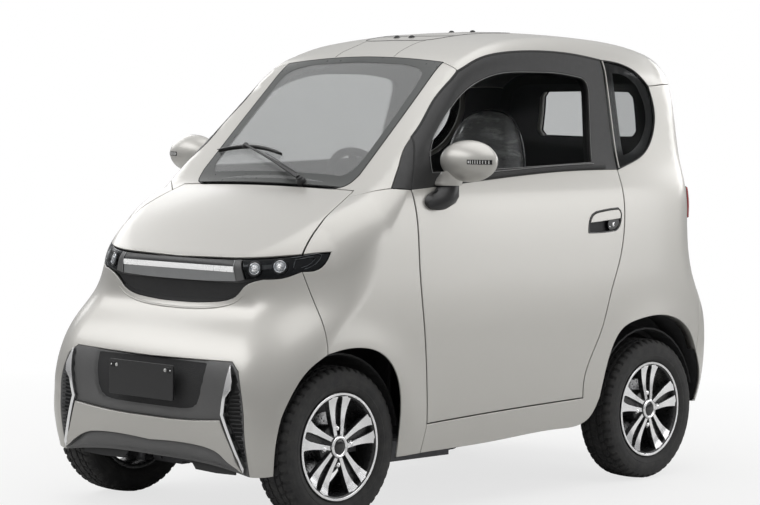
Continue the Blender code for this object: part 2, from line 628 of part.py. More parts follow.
def make_fenders():
    chart = Chart((0.05, -0.72, 0.60), (1.0, -0.25, 0.25))
    fender = outline_of((seam("pillar_foot"), SEAM), (seam("triangle_foot"), SEAM), (seam("door_front"), FRAME_GAP),
                        (seam("sill_front"), SEAM), (seam("fender_foot"), 0.0), (seam("front_arch"), 0.0),
                        (seam("nose_fender"), SEAM), (seam("lamp_tip"), SEAM), (seam("lamp_roof"), LOOSE_SEAM),
                        (seam("bonnet_fender", True), LID_GAP))
    pair("front_fender", panel(chart, fender, SKIN), "champagne")


def make_pillars():
    chart = Chart((0.10, -0.30, 0.95), (1.0, -0.45, 0.8))
    pillar = outline_of((seam("bonnet_corner"), HINGE_GAP), (seam("bonnet_pillar"), LID_GAP),
                        (seam("pillar_foot"), SEAM), (seam("triangle_front"), LOOSE_SEAM),
                        (seam("frame_pillar"), FRAME_GAP), (seam("pillar_roof"), SEAM), (seam("screen_side", True), SEAM),
                        (seam("screen_corner", True), CORNER_SEAM))
    pair("windscreen_pillar", panel(chart, pillar, 0.028, spacing=0.12), "champagne")
    triangle = outline_of((seam("triangle_foot"), SEAM), (seam("frame_front"), FRAME_GAP),
                          (seam("triangle_front", True), LOOSE_SEAM))
    pair("door_corner_trim", panel(LEFT_SIDE, triangle, 0.010), "black")


def make_top():
    front = Chart((0, -0.70, 0.55), (0, -0.5, 0.85))
    screen = both_sides((seam("bonnet_back"), HINGE_GAP), (seam("screen_corner"), CORNER_SEAM), (seam("screen_side"), SEAM),
                        (seam("screen_top"), SEAM))
    place("windscreen", panel(Chart((0, -0.10, 0.90), (0, -0.7, 0.7)), screen, GLASS, spacing=0.13), "glass")
    roof = both_sides((seam("screen_top", True), SEAM), (seam("pillar_roof", True), SEAM),
                      (seam("frame_roof"), FRAME_GAP), (seam("quarter_roof"), SEAM), (seam("roof_tail"), SEAM),
                      (seam("hatch_roof"), HATCH_GAP))
    lugs = []
    for side in (-1, 1):
        span = (side * (0.130 + FIT), side * 0.160)
        lugs.append(knuckle_on(HATCH_AXIS, *span))
        lugs.append(slanted_web(HATCH_AXIS, span, HATCH_NORMAL, -0.020))
    place("roof", joined([panel(Chart((0, 0.45, 1.05), (0, 0, 1)), roof, ROOF, spacing=0.13), *lugs]), "champagne")
    bonnet = both_sides((seam("bonnet_back"), HINGE_GAP), (seam("bonnet_corner"), HINGE_GAP),
                        (seam("bonnet_pillar"), LID_GAP), (seam("bonnet_fender"), LID_GAP),
                        (seam("bonnet_nose"), LID_GAP))
    shell = panel(front, bonnet, LID)
    lugs = []
    for side in (-1, 1):
        lugs.append(knuckle_on(BONNET_AXIS, side * 0.150, side * 0.180))
        lugs.append(box(sorted((side * 0.150, side * 0.180)), (BONNET_AXIS[1] - 0.030, BONNET_AXIS[1] + 0.001),
                        (BONNET_AXIS[2] - 0.015, BONNET_AXIS[2] - 0.001)))
    place("bonnet", joined([shell, *lugs]), "champagne", BONNET_AXIS)


def side_outline():
    return outline_of((seam("sill_foot"), 0.0), (seam("rear_arch"), 0.0), (seam("tail_quarter"), LOOSE_SEAM),
                      (seam("tail_corner"), SEAM), (seam("hatch_quarter"), LID_GAP), (seam("roof_tail", True), SEAM),
                      (seam("quarter_back"), SEAM), (seam("door_back", True), LID_GAP),
                      (seam("door_foot", True), LID_GAP), (seam("sill_front"), SEAM))


def make_sides():
    shell = panel(LEFT_SIDE, side_outline(), WALL)
    post = outline_of((on_side((0.605, 1.020), (0.665, 1.020)), 0.0), (on_side((0.665, 1.020), (0.665, 1.455)), 0.0),
                      (on_side((0.665, 1.455), (0.605, 1.455)), 0.0), (on_side((0.605, 1.455), (0.605, 1.020)), 0.0))
    pair("body_side", joined([shell, panel(LEFT_SIDE, post, WALL - 0.014, depth=0.014)]), "champagne")
    glass = outline_of((seam("quarter_roof"), SEAM), (seam("quarter_back"), SEAM), (seam("frame_back"), LID_GAP))
    pair("quarter_glass", panel(LEFT_SIDE, glass, GLASS, depth=0.002), "glass")


def make_doors():
    lower = outline_of((seam("door_front", True), FRAME_GAP), (seam("belt", True), FIT), (seam("door_back", True), LID_GAP),
                       (seam("door_foot", True), LID_GAP))
    shell = panel(LEFT_SIDE, lower, WALL)
    ahead = DOOR_AXIS_Y + 0.012
    pocket = outline_of((on_side((-0.56, 0.25), (ahead, 0.25)), 0.0), (on_side((ahead, 0.25), (ahead, 1.12)), 0.0),
                        (on_side((ahead, 1.12), (-0.56, 1.12)), 0.0), (on_side((-0.56, 1.12), (-0.56, 0.25)), 0.0))
    pocket = panel(LEFT_SIDE, pocket, WALL, depth=DOOR_FLANGE)
    leaves = []
    for height in HINGE_HEIGHTS:
        leaves.append(rod((DOOR_AXIS_X, DOOR_AXIS_Y, height), (DOOR_AXIS_X, DOOR_AXIS_Y, height + HINGE_TALL), KNUCKLE))
        leaves.append(box((DOOR_AXIS_X - 0.014, DOOR_AXIS_X + 0.004), (DOOR_AXIS_Y, ahead + 0.010),
                          (height, height + HINGE_TALL)))
    place_door("door", joined([joined([shell], cuts=[pocket]), *leaves]), "champagne")
    edges = ((seam("frame_front"), FRAME_GAP), (seam("frame_pillar"), FRAME_GAP), (seam("frame_roof"), FRAME_GAP),
             (seam("frame_back", True), LID_GAP))
    outer = outline_of(*edges, (seam("belt"), FIT))
    opening = outline_of((on_side((-0.380, 1.098), (-0.365, 1.172), (-0.301, 1.253), (-0.185, 1.352),
                                  (-0.076, 1.404), (0.030, 1.430), (0.188, 1.439), (0.349, 1.438), (0.457, 1.427)), 0.0),
                         (on_side((0.457, 1.427), (0.496, 1.385)), 0.0),
                         (on_side((0.496, 1.385), (0.484, 1.278), (0.459, 1.130)), 0.0),
                         (on_side((0.459, 1.130), (0.040, 1.112), (-0.380, 1.098)), 0.0))
    place_door("window_frame", panel(LEFT_SIDE, outer, WALL - 0.009, holes=[opening]), "black")
    frame_room = panel(LEFT_SIDE, outline_of(*edges, (seam("belt"), -0.004)), 0.080, depth=-4 * FIT)
    pane = (opening[0], np.full(len(opening[0]), 2 * FIT))
    place_door("door_glass", panel(LEFT_SIDE, pane, GLASS, depth=0.014, spacing=0.15), "glass")
    grip = outline_of((on_side((0.400, 0.900), (0.405, 0.950), (0.445, 0.966)), 0.0),
                      (on_side((0.445, 0.966), (0.560, 0.970)), 0.0),
                      (on_side((0.560, 0.970), (0.562, 0.935), (0.530, 0.900)), 0.0),
                      (on_side((0.530, 0.900), (0.400, 0.900)), 0.0))
    room = panel(LEFT_SIDE, lower, 0.080, depth=-FIT)
    place_door("door_handle", joined([panel(LEFT_SIDE, grip, 0.030, depth=-0.012)], cuts=[room]), "champagne")
    shell = egg(MIRROR, (0.115, 0.055, 0.067))
    arm = rod((0.530, -0.350, 1.020), (0.625, MIRROR[1] - 0.004, 1.090), 0.022, sides=8, end_radius=0.018)
    place_door("door_mirror", joined([shell, arm], cuts=[room, frame_room]), "champagne")


def knuckle_on(axis, start, end):
    """One hinge knuckle on an axis along X."""
    return rod(np.array([start, 0, 0]) + axis, np.array([end, 0, 0]) + axis, LID_KNUCKLE, sides=8)


def slanted_web(axis, span, normal, reach):
    """The leaf that carries a knuckle, running along the skin to its panel; reach is positive rearwards."""
    along = np.array([0, normal[2], -normal[1]]) * reach
    rows = [axis + normal * 0.001, axis + normal * 0.001 + along, axis - normal * 0.006 + along,
            axis - normal * 0.006]
    return prism([(row[1], row[2]) for row in rows], *sorted(span))


def place_door(name, solid, colour):
    pair(name, solid, colour, (DOOR_AXIS_X, DOOR_AXIS_Y, 0.60))


def egg(centre, radii, rings=6, sides=12):
    """An ellipsoid, its poles along X."""
    profile = [(math.cos(math.pi * i / rings), math.sin(math.pi * i / rings)) for i in range(rings + 1)]
    points, faces = [np.array([1.0, 0, 0])], []
    for across, radius in profile[1:-1]:
        points += [np.array([across, radius * math.cos(a), radius * math.sin(a)])
                   for a in 2 * math.pi * np.arange(sides) / sides]
    points.append(np.array([-1.0, 0, 0]))
    for i in range(sides):
        j = (i + 1) % sides
        faces.append((0, 1 + i, 1 + j))
        for k in range(rings - 2):
            a, b = 1 + k * sides, 1 + (k + 1) * sides
            faces.append((a + i, b + i, b + j, a + j))
        last = 1 + (rings - 2) * sides
        faces.append((len(points) - 1, last + j, last + i))
    return np.array(points) * radii + np.array(centre), faces


def make_tail():
    chart = Chart((0, 0.70, 0.80), (0, 1, 0))
    hatch = both_sides((seam("hatch_roof", True), HATCH_GAP), (seam("hatch_quarter", True), LID_GAP),
                       (seam("hatch_foot"), LID_GAP))
    window = both_sides((on_tail((0.000, 1.395), (0.205, 1.392)), 0.0), (on_tail((0.205, 1.392), (0.225, 1.370)), 0.0),
                        (on_tail((0.225, 1.370), (0.240, 1.240)), 0.0), (on_tail((0.240, 1.240), (0.220, 1.218)), 0.0),
                        (on_tail((0.220, 1.218), (0.000, 1.214)), 0.0))
    shell = panel(chart, hatch, HATCH, holes=[window])
    lugs = []
    for side in (-1, 1):
        span = (side * 0.100, side * 0.130)
        lugs.append(knuckle_on(HATCH_AXIS, *span))
        lugs.append(slanted_web(HATCH_AXIS, span, HATCH_NORMAL, 0.020))
    place("tailgate", joined([shell, *lugs]), "champagne", HATCH_AXIS)
    pane = (window[0], np.full(len(window[0]), 2 * FIT))
    place("tailgate_glass", panel(chart, pane, GLASS, depth=0.004, spacing=0.15), "glass", HATCH_AXIS)
    bumper = both_sides((seam("hatch_foot", True), LID_GAP), (seam("tail_corner", True), SEAM),
                        (seam("tail_quarter", True), LOOSE_SEAM), (seam("tail_arch"), 0.0), (seam("tail_foot"), 0.0),
                        (seam("tail_foot_middle"), 0.0))
    place("rear_bumper", panel(chart, bumper, BUMPER), "champagne")
    lamp = outline_of((on_tail((0.440, 0.920), (0.440, 1.050)), 0.0), (on_tail((0.440, 1.050), (0.490, 1.040)), 0.0),
                      (on_tail((0.490, 1.040), (0.500, 0.930)), 0.0), (on_tail((0.500, 0.930), (0.440, 0.920)), 0.0))
    room = panel(LEFT_SIDE, side_outline(), 0.080, depth=-FIT)
    pair("tail_lamp", joined([panel(chart, lamp, 0.030, depth=-0.014)], cuts=[room]), "lamp_red")


# ---------------------------------------------------------------- structure under the skin
def make_frame():
    rails = []
    for side in (-1, 1):
        x = sorted((side * 0.200, side * 0.250))
        rails.append(box(x, (NOSE + 0.145, REAR_WALL_Y + 0.048), (RAIL_BOTTOM, RAIL_TOP)))
        rails.append(box(x, (REAR_WALL_Y + FIT, REAR_WALL_Y + 0.048), (RAIL_BOTTOM + 0.004, BOOT_Z - FLOOR - FIT)))
        rails.append(box(x, (REAR_WALL_Y + 0.008, TAIL - 0.0739), (BOOT_Z - 0.057, BOOT_Z - FLOOR - FIT)))
        for y in (DOOR_AXIS_Y + 0.015, 0.115):
            rails.append(box(sorted((side * 0.240, side * 0.560)), (y - 0.020, y + 0.020),
                             (RAIL_BOTTOM + 0.016, RAIL_TOP - 0.001)))
        for y in (-0.300, 0.300):
            rails.append(box(sorted((side * (JACK_X - 0.020), side * (JACK_X + 0.020))), (y - 0.020, y + 0.020),
                             (RAIL_BOTTOM - JACK_PAD, RAIL_BOTTOM + 0.002)))
        rails.append(box(sorted((side * 0.455, side * 0.475)), (DOOR_AXIS_Y - 0.025, DOOR_AXIS_Y + 0.015),
                         (RAIL_BOTTOM + 0.004, HINGE_HEIGHTS[1] + 0.050)))
        for height in HINGE_HEIGHTS:
            low, high = height - HINGE_TALL - FIT, height - FIT
            rails.append(box(sorted((side * 0.470, side * DOOR_AXIS_X)),
                             (DOOR_AXIS_Y - 0.007, DOOR_AXIS_Y + 0.007), (low, high)))
            rails.append(rod((side * DOOR_AXIS_X, DOOR_AXIS_Y, low), (side * DOOR_AXIS_X, DOOR_AXIS_Y, high), KNUCKLE))
    middle = (RAIL_BOTTOM + RAIL_TOP) / 2 - 0.001
    for y, z in ((NOSE + 0.160, middle), (-0.405, middle), (0.100, middle), (REAR_WALL_Y + 0.028, middle),
                 (TAIL - 0.0989, BOOT_Z - 0.040)):
        rails.append(box((-0.210, 0.210), (y - 0.015, y + 0.015), (z - 0.016, z + 0.016)))
    sill = panel(LEFT_SIDE, side_outline(), WALL + 2 * FIT + 0.020, depth=-0.020)
    place("chassis_frame", joined(rails, cuts=[sill, mirrored(sill)]), "steel")
    ahead = DOOR_AXIS_Y + 0.020
    floor = joined([box((-0.495, 0.495), (ahead, REAR_WALL_Y), (FLOOR_Z, FLOOR_Z + FLOOR)),
                    box((-0.454, 0.454), (FIREWALL_Y, ahead + 0.010), (FLOOR_Z, FLOOR_Z + FLOOR)),
                    box((-0.454, 0.454), (FIREWALL_Y, FIREWALL_Y + FLOOR), (FLOOR_Z + 0.002, 0.930)),
                    box((-0.495, 0.495), (REAR_WALL_Y - FLOOR, REAR_WALL_Y), (FLOOR_Z + 0.002, BOOT_Z)),
                    box((-0.355, 0.355), (REAR_WALL_Y - 0.011, TAIL - 0.0739), (BOOT_Z - FLOOR, BOOT_Z))])
    place("floor_pan", floor, "trim")


def make_liners():
    for end, axle, sweep in (("front", FRONT, (8.0, 145.0)), ("rear", REAR, (15.0, 165.0))):
        inner = 0.290 + FIT if end == "front" else 0.355 + FIT
        outer = 0.512
        radius = LINER_RADIUS
        band = turned([(inner, radius), (inner, radius + 0.006), (outer, radius + 0.006), (outer, radius)],
                      (0, axle, TYRE_RADIUS), 14, sweep)
        pair(end + "_arch_liner", band, "black")


def make_front_suspension():
    y, z = FRONT, TYRE_RADIUS
    parts = [box((-0.270, 0.270), (y - 0.035, y + 0.035), (z - 0.115, RAIL_BOTTOM - FIT)),
             box((-0.195, 0.195), (y + 0.030, y + 0.100), (z - 0.090, z - 0.073))]
    for side in (-1, 1):
        parts.append(box(sorted((side * 0.170, side * 0.458)), (y - 0.018, y + 0.018), (LOWER_ARM - 0.020, LOWER_ARM)))
        parts.append(box(sorted((side * 0.280, side * 0.458)), (y - 0.016, y + 0.016), (UPPER_ARM, UPPER_ARM + 0.014)))
        parts.append(box(sorted((side * 0.2503, side * 0.290)), (y - 0.040, y + 0.040), (z - 0.115, z + 0.292)))
        parts.append(rod((side * 0.330, y - 0.048, LOWER_ARM - 0.008), (side * 0.310, y - 0.048, z + 0.230), 0.017))
        parts.append(box(sorted((side * 0.270, side * 0.330)), (y - 0.065, y - 0.010), (z + 0.220, z + 0.240)))
        parts.append(box(sorted((side * 0.310, side * 0.350)), (y - 0.060, y), (LOWER_ARM - 0.018, LOWER_ARM - 0.002)))
    for x in (-0.150, 0.150):
        parts.append(box((x - 0.015, x + 0.015), (RACK_Y - 0.015, RACK_Y + 0.015), (z - 0.075, RACK_Z - 0.009 - FIT)))
    place("front_suspension", joined(parts), "steel")


def make_steering():
    rack = rod((-0.392, RACK_Y, RACK_Z), (0.392, RACK_Y, RACK_Z), 0.009, sides=8)
    place("steering_rack", rack, "steel", (0, RACK_Y, RACK_Z))
    y, z = FRONT, TYRE_RADIUS
    knuckle = [box((KINGPIN_X - 0.014, HUB_X - FIT), (y - 0.028, y + 0.028), (LOWER_ARM + FIT, UPPER_ARM - FIT)),
               box((0.375, KINGPIN_X), (y + 0.010, y + 0.022), (RACK_Z + 0.015, RACK_Z + 0.027)),
               box((0.375, 0.395), (y + 0.010, RACK_Y + 0.010), (RACK_Z + 0.015, RACK_Z + 0.027)),
               box((KINGPIN_X - 0.008, HUB_X - FIT), (y + 0.020, y + 0.128), (z - 0.030, z + 0.030)),
               box((KINGPIN_X - 0.008, HUB_X + 0.032), (y + 0.1125, y + 0.128), (z - 0.030, z + 0.030)),
               box((HUB_X + 0.020, HUB_X + 0.032), (y + 0.070, y + 0.128), (z - 0.030, z + 0.030))]
    pair("steering_knuckle", joined(knuckle), "steel", (KINGPIN_X, y, z))
    column_top, column_foot = np.array(WHEEL_CENTRE), np.array(COLUMN_FOOT)
    along = (column_foot - column_top) / np.linalg.norm(column_foot - column_top)
    wheel_parts = [rod(column_top + along * 0.030, column_top - along * 0.010, 0.034, sides=12)]
    tilt = math.atan2(-along[1], -along[2])
    ring = turned_ring(0.148, 0.014, 18, 6)
    across, upward = np.array([1.0, 0, 0]), np.array([0, -along[2], along[1]])
    frame = np.stack([across, upward, -along], axis=1)
    wheel_parts.append((ring[0] @ frame.T + column_top, ring[1]))
    for angle in (90, 210, 330):
        out = math.cos(math.radians(angle)) * across + math.sin(math.radians(angle)) * upward
        wheel_parts.append(rod(column_top + along * 0.008, column_top + out * 0.146, 0.010, sides=6))
    place("steering_wheel", joined(wheel_parts), "black", WHEEL_CENTRE)


def turned_ring(radius, tube, around, section):
    """A torus in the XY plane about the origin."""
    points = [((radius + tube * math.cos(b)) * math.cos(a), (radius + tube * math.cos(b)) * math.sin(a),
               tube * math.sin(b)) for a in 2 * math.pi * np.arange(around) / around
              for b in 2 * math.pi * np.arange(section) / section]
    faces = [(i * section + j, (i + 1) % around * section + j, (i + 1) % around * section + (j + 1) % section,
              i * section + (j + 1) % section) for i in range(around) for j in range(section)]
    return np.array(points), faces


def make_wheels():
    half = TYRE_WIDTH / 2
    tread = TYRE_RADIUS
    seat = half - 0.0155
    shoulder = [(seat, BEAD), (seat, RIM_RADIUS + 0.001), (half - 0.0045, RIM_RADIUS + 0.0145), (half, RIM_RADIUS + 0.0365),
                (half - 0.0095, tread - 0.013), (half - 0.0275, tread - 0.003)]
    tyre = [(-x, r) for x, r in shoulder] + [(0.000, tread)] + shoulder[::-1]
    lip = seat + 0.009
    rim = [(-seat - 0.007, BEAD - 0.011), (-seat - 0.007, RIM_RADIUS), (-seat - FIT, RIM_RADIUS), (-seat - FIT, BEAD - FIT),
           (seat + FIT, BEAD - FIT), (seat + FIT, RIM_RADIUS), (lip, RIM_RADIUS), (lip, BEAD - 0.011)]
    centre = (WHEEL_X, 0, TYRE_RADIUS)
    tyre = turned(tyre, centre, 32)
    parts = [turned(rim, centre, 32),
             rod((HUB_X, 0, TYRE_RADIUS), (HUB_X + 0.008, 0, TYRE_RADIUS), 0.060, sides=10),
             rod((HUB_X + 0.007, 0, TYRE_RADIUS), (HUB_X + 0.015, 0, TYRE_RADIUS), DISC, sides=16),
             rod((HUB_X + 0.014, 0, TYRE_RADIUS), (WHEEL_X + lip - 0.010, 0, TYRE_RADIUS), 0.045, sides=12),
             rod((WHEEL_X + lip - 0.011, 0, TYRE_RADIUS), (WHEEL_X + lip, 0, TYRE_RADIUS), 0.028, sides=10)]
    for pairs in range(5):
        for twist in (-13, 13):
            turn = math.radians(90 + 72 * pairs + twist)
            out = np.array([0, math.cos(turn), math.sin(turn)])
            side = np.array([0, -math.sin(turn), math.cos(turn)])
            hub, edge = np.array([WHEEL_X + lip - 0.026, 0, TYRE_RADIUS]), np.array([WHEEL_X + lip - 0.020, 0, TYRE_RADIUS])
            corners = []
            for base, reach, wide in ((hub, 0.030, 0.009), (edge, BEAD - 0.007, 0.008)):
                for deep in (0.0, 0.014):
                    for across in (-wide, wide):
                        corners.append(base + out * reach + side * across + np.array([deep, 0, 0]))
            faces = [(0, 1, 3, 2), (4, 6, 7, 5), (0, 4, 5, 1), (2, 3, 7, 6), (0, 2, 6, 4), (1, 5, 7, 3)]
            parts.append((np.array(corners), faces))
    wheel = joined(parts)
    for end, y in (("front", FRONT), ("rear", REAR)):
        shift = np.array([0, y, 0])
        pair(end + "_tyre", (tyre[0] + shift, tyre[1]), "rubber", (WHEEL_X, y, TYRE_RADIUS))
        pair(end + "_rim", (wheel[0] + shift, wheel[1]), "alloy", (WHEEL_X, y, TYRE_RADIUS))


def make_rear_axle():
    y, z = REAR, TYRE_RADIUS
    parts = [rod((-HUB_X + FIT, y, z), (HUB_X - FIT, y, z), 0.026, sides=14),
             box((-0.120, 0.120), (y - 0.110, y + 0.100), (z - 0.095, z + 0.095))]
    for side in (-1, 1):
        parts.append(box(sorted((side * 0.270, side * 0.300)), (REAR_WALL_Y + 0.008, y + 0.045),
                         (z - 0.012, z + 0.012)))
        parts.append(box(sorted((side * (0.250 + FIT), side * 0.299)), (REAR_WALL_Y + FIT, REAR_WALL_Y + 0.028),
                         (z - 0.035, z + 0.010)))
        parts.append(rod((side * 0.285, y + 0.025, z - 0.004), (side * 0.285, y + 0.025, BOOT_Z - FLOOR - FIT), 0.018))
    place("rear_axle", joined(parts), "steel")
    place("battery_pack", box((-0.185, 0.185), (-0.400, 0.112), (0.110, RAIL_BOTTOM - FIT)), "black")


# ---------------------------------------------------------------- inside the cabin
def make_cabin():
    wall = FIREWALL_Y + FLOOR + FIT
    dash = prism([(-0.560, 0.985), (-0.555, 1.022), (-0.440, 1.034), (-0.330, 1.010), (-0.290, 0.960),
                  (-0.315, 0.860), ((wall - 0.315) / 2, 0.800), (wall, 0.790), (wall, 0.930 + FIT),
                  (wall - 0.022, 0.930 + FIT)], -0.440, 0.440)
    top, foot = np.array(WHEEL_CENTRE), np.array(COLUMN_FOOT)
    along = (foot - top) / np.linalg.norm(foot - top)
    column = rod(top + along * (0.030 + FIT), foot, 0.026, sides=10)
    cowl = [box((-0.240, 0.240), (-0.596, -0.545), (0.996, 1.010))]
    down = BONNET_NORMAL * (BONNET_AXIS[2] - 1.001) / BONNET_NORMAL[2]
    for side in (-1, 1):
        span = (side * (0.180 + FIT), side * 0.210)
        cowl.append(knuckle_on(BONNET_AXIS, *span))
        rear = np.array([0, BONNET_NORMAL[2], -BONNET_NORMAL[1]])
        rows = [BONNET_AXIS + rear * 0.001, BONNET_AXIS + rear * 0.0045,
                BONNET_AXIS + rear * 0.0045 - down, BONNET_AXIS + rear * 0.001 - down]
        cowl.append(prism([(row[1], row[2]) for row in rows], *sorted(span)))
    place("dashboard", joined([dash, column, *cowl]), "black")
    seat_x = SEAT_X
    plinth = box((seat_x - 0.190, seat_x + 0.190), (-0.120, 0.300), (FLOOR_Z + FLOOR + FIT, 0.450))
    cushion = prism([(-0.170, 0.430), (-0.190, 0.480), (-0.170, 0.545), (0.215, 0.520), (0.215, 0.430)],
                    seat_x - 0.225, seat_x + 0.225)
    place("driver_seat_cushion", joined([cushion, plinth]), "seat")
    back = prism([(0.2153, 0.4503), (0.2153, 0.540), (0.195, 0.565), (0.255, 1.050), (0.285, 1.090), (0.290, 1.270), (0.320, 1.296),
                  (0.360, 1.270), (0.365, 1.090), (0.350, 1.050), (0.310, 0.500), (0.290, 0.4503)],
                 seat_x - 0.215, seat_x + 0.215)
    place("driver_seat_back", back, "seat")
    foot, front = BOOT_Z + FIT, REAR_WALL_Y + 0.013
    bench = prism([(front + 0.015, foot), (front, 0.560), (front + 0.025, 0.600), (front + 0.335, 0.575),
                   (front + 0.335, foot)], -0.350, 0.350)
    bench_back = prism([(front + 0.325, foot), (front + 0.325, 0.560), (front + 0.415, 1.040), (front + 0.485, 1.040),
                        (front + 0.425, 0.560), (front + 0.405, foot)], -0.350, 0.350)
    place("rear_bench", joined([bench, bench_back]), "seat")


def make_wiper():
    foot = on_top((0.080, -0.575), (0.000, -0.575))[0]
    tip = on_top((-0.120, -0.470), (-0.050, -0.470))[0]
    ends = on_top((-0.270, -0.480), (0.030, -0.455))
    normal = skin_normal(np.array([foot, tip, *ends]))
    lift = 0.012
    parts = [rod(foot + normal[0] * 0.002, foot + normal[0] * 0.024, 0.012, sides=8),
             rod(foot + normal[0] * 0.018, tip + normal[1] * (lift + 0.006), 0.006, sides=6),
             rod(ends[0] + normal[2] * lift, ends[-1] + normal[-1] * lift, 0.008, sides=6)]
    place("wiper", joined(parts), "black")


# ---------------------------------------------------------------- places worked out from the sizes above
HUB_X = 0.452                   # inner face of each hub
BEAD = RIM_RADIUS - 0.0095
DISC = 0.1025
LOWER_ARM = TYRE_RADIUS - 0.108
UPPER_ARM = TYRE_RADIUS + 0.110
RACK_Y = FRONT + 0.085
RACK_Z = TYRE_RADIUS - 0.060
HINGE_TALL = 0.030
JACK_X, JACK_PAD = 0.225, 0.008
HINGE_HEIGHTS = (0.420, 0.880)
LID_KNUCKLE = 0.0045
BONNET_AXIS = on_top((0.0, -0.606), (0.1, -0.606))[0] - [0, 0, 0.004]
BONNET_NORMAL = skin_normal(on_top((0.0, -0.640), (0.1, -0.640)))[0]
HATCH_NORMAL = skin_normal(on_tail((0.0, 1.455), (0.1, 1.455)))[0]
HATCH_AXIS = on_tail((0.0, 1.455), (0.1, 1.455))[0] - HATCH_NORMAL * 0.005
WHEEL_CENTRE = np.array([0.130, -0.270, 1.030])
COLUMN_FOOT = np.array([0.130, -0.420, 0.950])
MIRROR = np.array([0.650, -0.335, 1.139])
SEAT_X = 0.130


def main():
    for item in list(bpy.data.objects):
        bpy.data.objects.remove(item)
    middle = bpy.data.objects.new("wheelbase_middle", None)
    middle.location = (0, -(NOSE + TAIL) / 2, 0)
    bpy.context.scene.collection.objects.link(middle)
    for make in (make_nose, make_fenders, make_pillars, make_top, make_sides, make_doors, make_tail, make_frame,
                 make_liners, make_front_suspension, make_steering, make_wheels, make_rear_axle, make_cabin, make_wiper):
        make()


main()
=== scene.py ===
"""The looks of the city car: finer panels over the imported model, lamps, wheels, glass, cabin and finishes.

Points are in metres about the middle of the wheelbase (X to the car's left, -Y to the front, Z up) until
`made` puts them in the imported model's place.
"""
import math

import bpy
import numpy as np
from mathutils import Matrix, Vector
from mathutils.geometry import delaunay_2d_cdt


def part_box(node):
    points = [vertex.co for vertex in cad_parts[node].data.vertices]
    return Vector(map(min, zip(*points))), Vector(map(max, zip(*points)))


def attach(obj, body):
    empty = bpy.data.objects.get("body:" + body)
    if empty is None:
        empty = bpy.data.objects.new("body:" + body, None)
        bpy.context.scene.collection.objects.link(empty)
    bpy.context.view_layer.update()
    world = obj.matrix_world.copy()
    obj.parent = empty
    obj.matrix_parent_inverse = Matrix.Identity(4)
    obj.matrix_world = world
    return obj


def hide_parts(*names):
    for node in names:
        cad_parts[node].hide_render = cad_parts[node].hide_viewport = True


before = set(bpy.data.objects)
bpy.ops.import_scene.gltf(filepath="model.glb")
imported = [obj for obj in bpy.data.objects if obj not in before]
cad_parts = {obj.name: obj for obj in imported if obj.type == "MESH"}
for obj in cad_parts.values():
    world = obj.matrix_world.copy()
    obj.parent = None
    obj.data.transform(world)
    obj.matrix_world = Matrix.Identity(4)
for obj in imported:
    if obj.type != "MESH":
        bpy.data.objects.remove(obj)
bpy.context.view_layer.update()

# ---------------------------------------------------------------- sizes, as the solids have them
WHEEL_X, TYRE_RADIUS, TYRE_WIDTH = 0.475, 0.250, 0.145
FRONT, REAR = -0.793, 0.793
NOSE, TAIL = -1.145, 1.2239
HALF_GLASS = 0.36               # half width of the windscreen, over which the crowns are given
WALL, ROOF, HATCH = 0.045, 0.030, 0.040
SHUT = 0.0042                   # width of the shut lines that show
FIXED = 0.0016                  # and of the seams between fixed panels
HEM = 0.0022                    # radius of a panel's folded edge
HEM_TURNS = (35, 65, 90)        # and the degrees at which its rows of points lie
SNUG, CLOSE, EASY = 0.001, 0.002, 0.003    # gaps round inserts, lamps and panes
HOME = Vector((0, (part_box("front_rim_left")[0].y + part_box("rear_rim_left")[1].y) / 2, 0))


# ---------------------------------------------------------------- the skin
def spline(rows):
    """Natural cubic spline through rows of (place, value), straight beyond its ends."""
    place, value = np.array(rows, float).T
    last = len(place) - 1
    step = np.diff(place)
    matrix, right = np.eye(last + 1), np.zeros(last + 1)
    for i in range(1, last):
        matrix[i, i - 1:i + 2] = step[i - 1], 2 * (step[i - 1] + step[i]), step[i]
        right[i] = 6 * ((value[i + 1] - value[i]) / step[i] - (value[i] - value[i - 1]) / step[i - 1])
    bend = np.linalg.solve(matrix, right)

    def at(where):
        where = np.asarray(where, float)
        inside = np.clip(where, place[0], place[-1])
        i = np.clip(np.searchsorted(place, inside) - 1, 0, last - 1)
        low, high, k = inside - place[i], place[i + 1] - inside, step[i]
        curve = (bend[i] * high ** 3 + bend[i + 1] * low ** 3) / (6 * k)
        curve = (curve + (value[i] / k - bend[i] * k / 6) * high
                 + (value[i + 1] / k - bend[i + 1] * k / 6) * low)
        slope = np.where(where < place[0], (value[1] - value[0]) / step[0] - step[0] * bend[1] / 6,
                         (value[-1] - value[-2]) / step[-1] + step[-1] * bend[-2] / 6)
        return curve + slope * (where - inside)

    return at


# height, half width half way along the car
side_width = spline([(0.15, 0.536), (0.30, 0.560), (0.45, 0.574), (0.62, 0.579), (0.80, 0.574), (0.95, 0.567),
                     (1.04, 0.553), (1.12, 0.524), (1.25, 0.492), (1.36, 0.472), (1.48, 0.450),
                     (1.62, 0.420)])
# station along the car, what the half width gains there
plan_taper = spline([(FRONT - 0.407, -0.020), (FRONT - 0.207, -0.010), (FRONT + 0.003, -0.004),
                     (-0.40, 0.000), (0.00, 0.000), (0.50, 0.000), (REAR + 0.007, -0.005),
                     (REAR + 0.207, -0.016), (REAR + 0.457, -0.040)])
# station, height of the middle of the bonnet and of the roof
bonnet_line = spline([(FRONT - 0.407, 0.708), (FRONT - 0.207, 0.823), (FRONT - 0.007, 0.951), (-0.60, 1.049),
                      (-0.30, 1.150)])
roof_line = spline([(-0.30, 1.435), (-0.15, 1.490), (0.00, 1.543), (0.20, 1.575), (0.45, 1.587),
                    (0.70, 1.580), (REAR + 0.107, 1.557), (REAR + 0.257, 1.518), (REAR + 0.407, 1.450)])
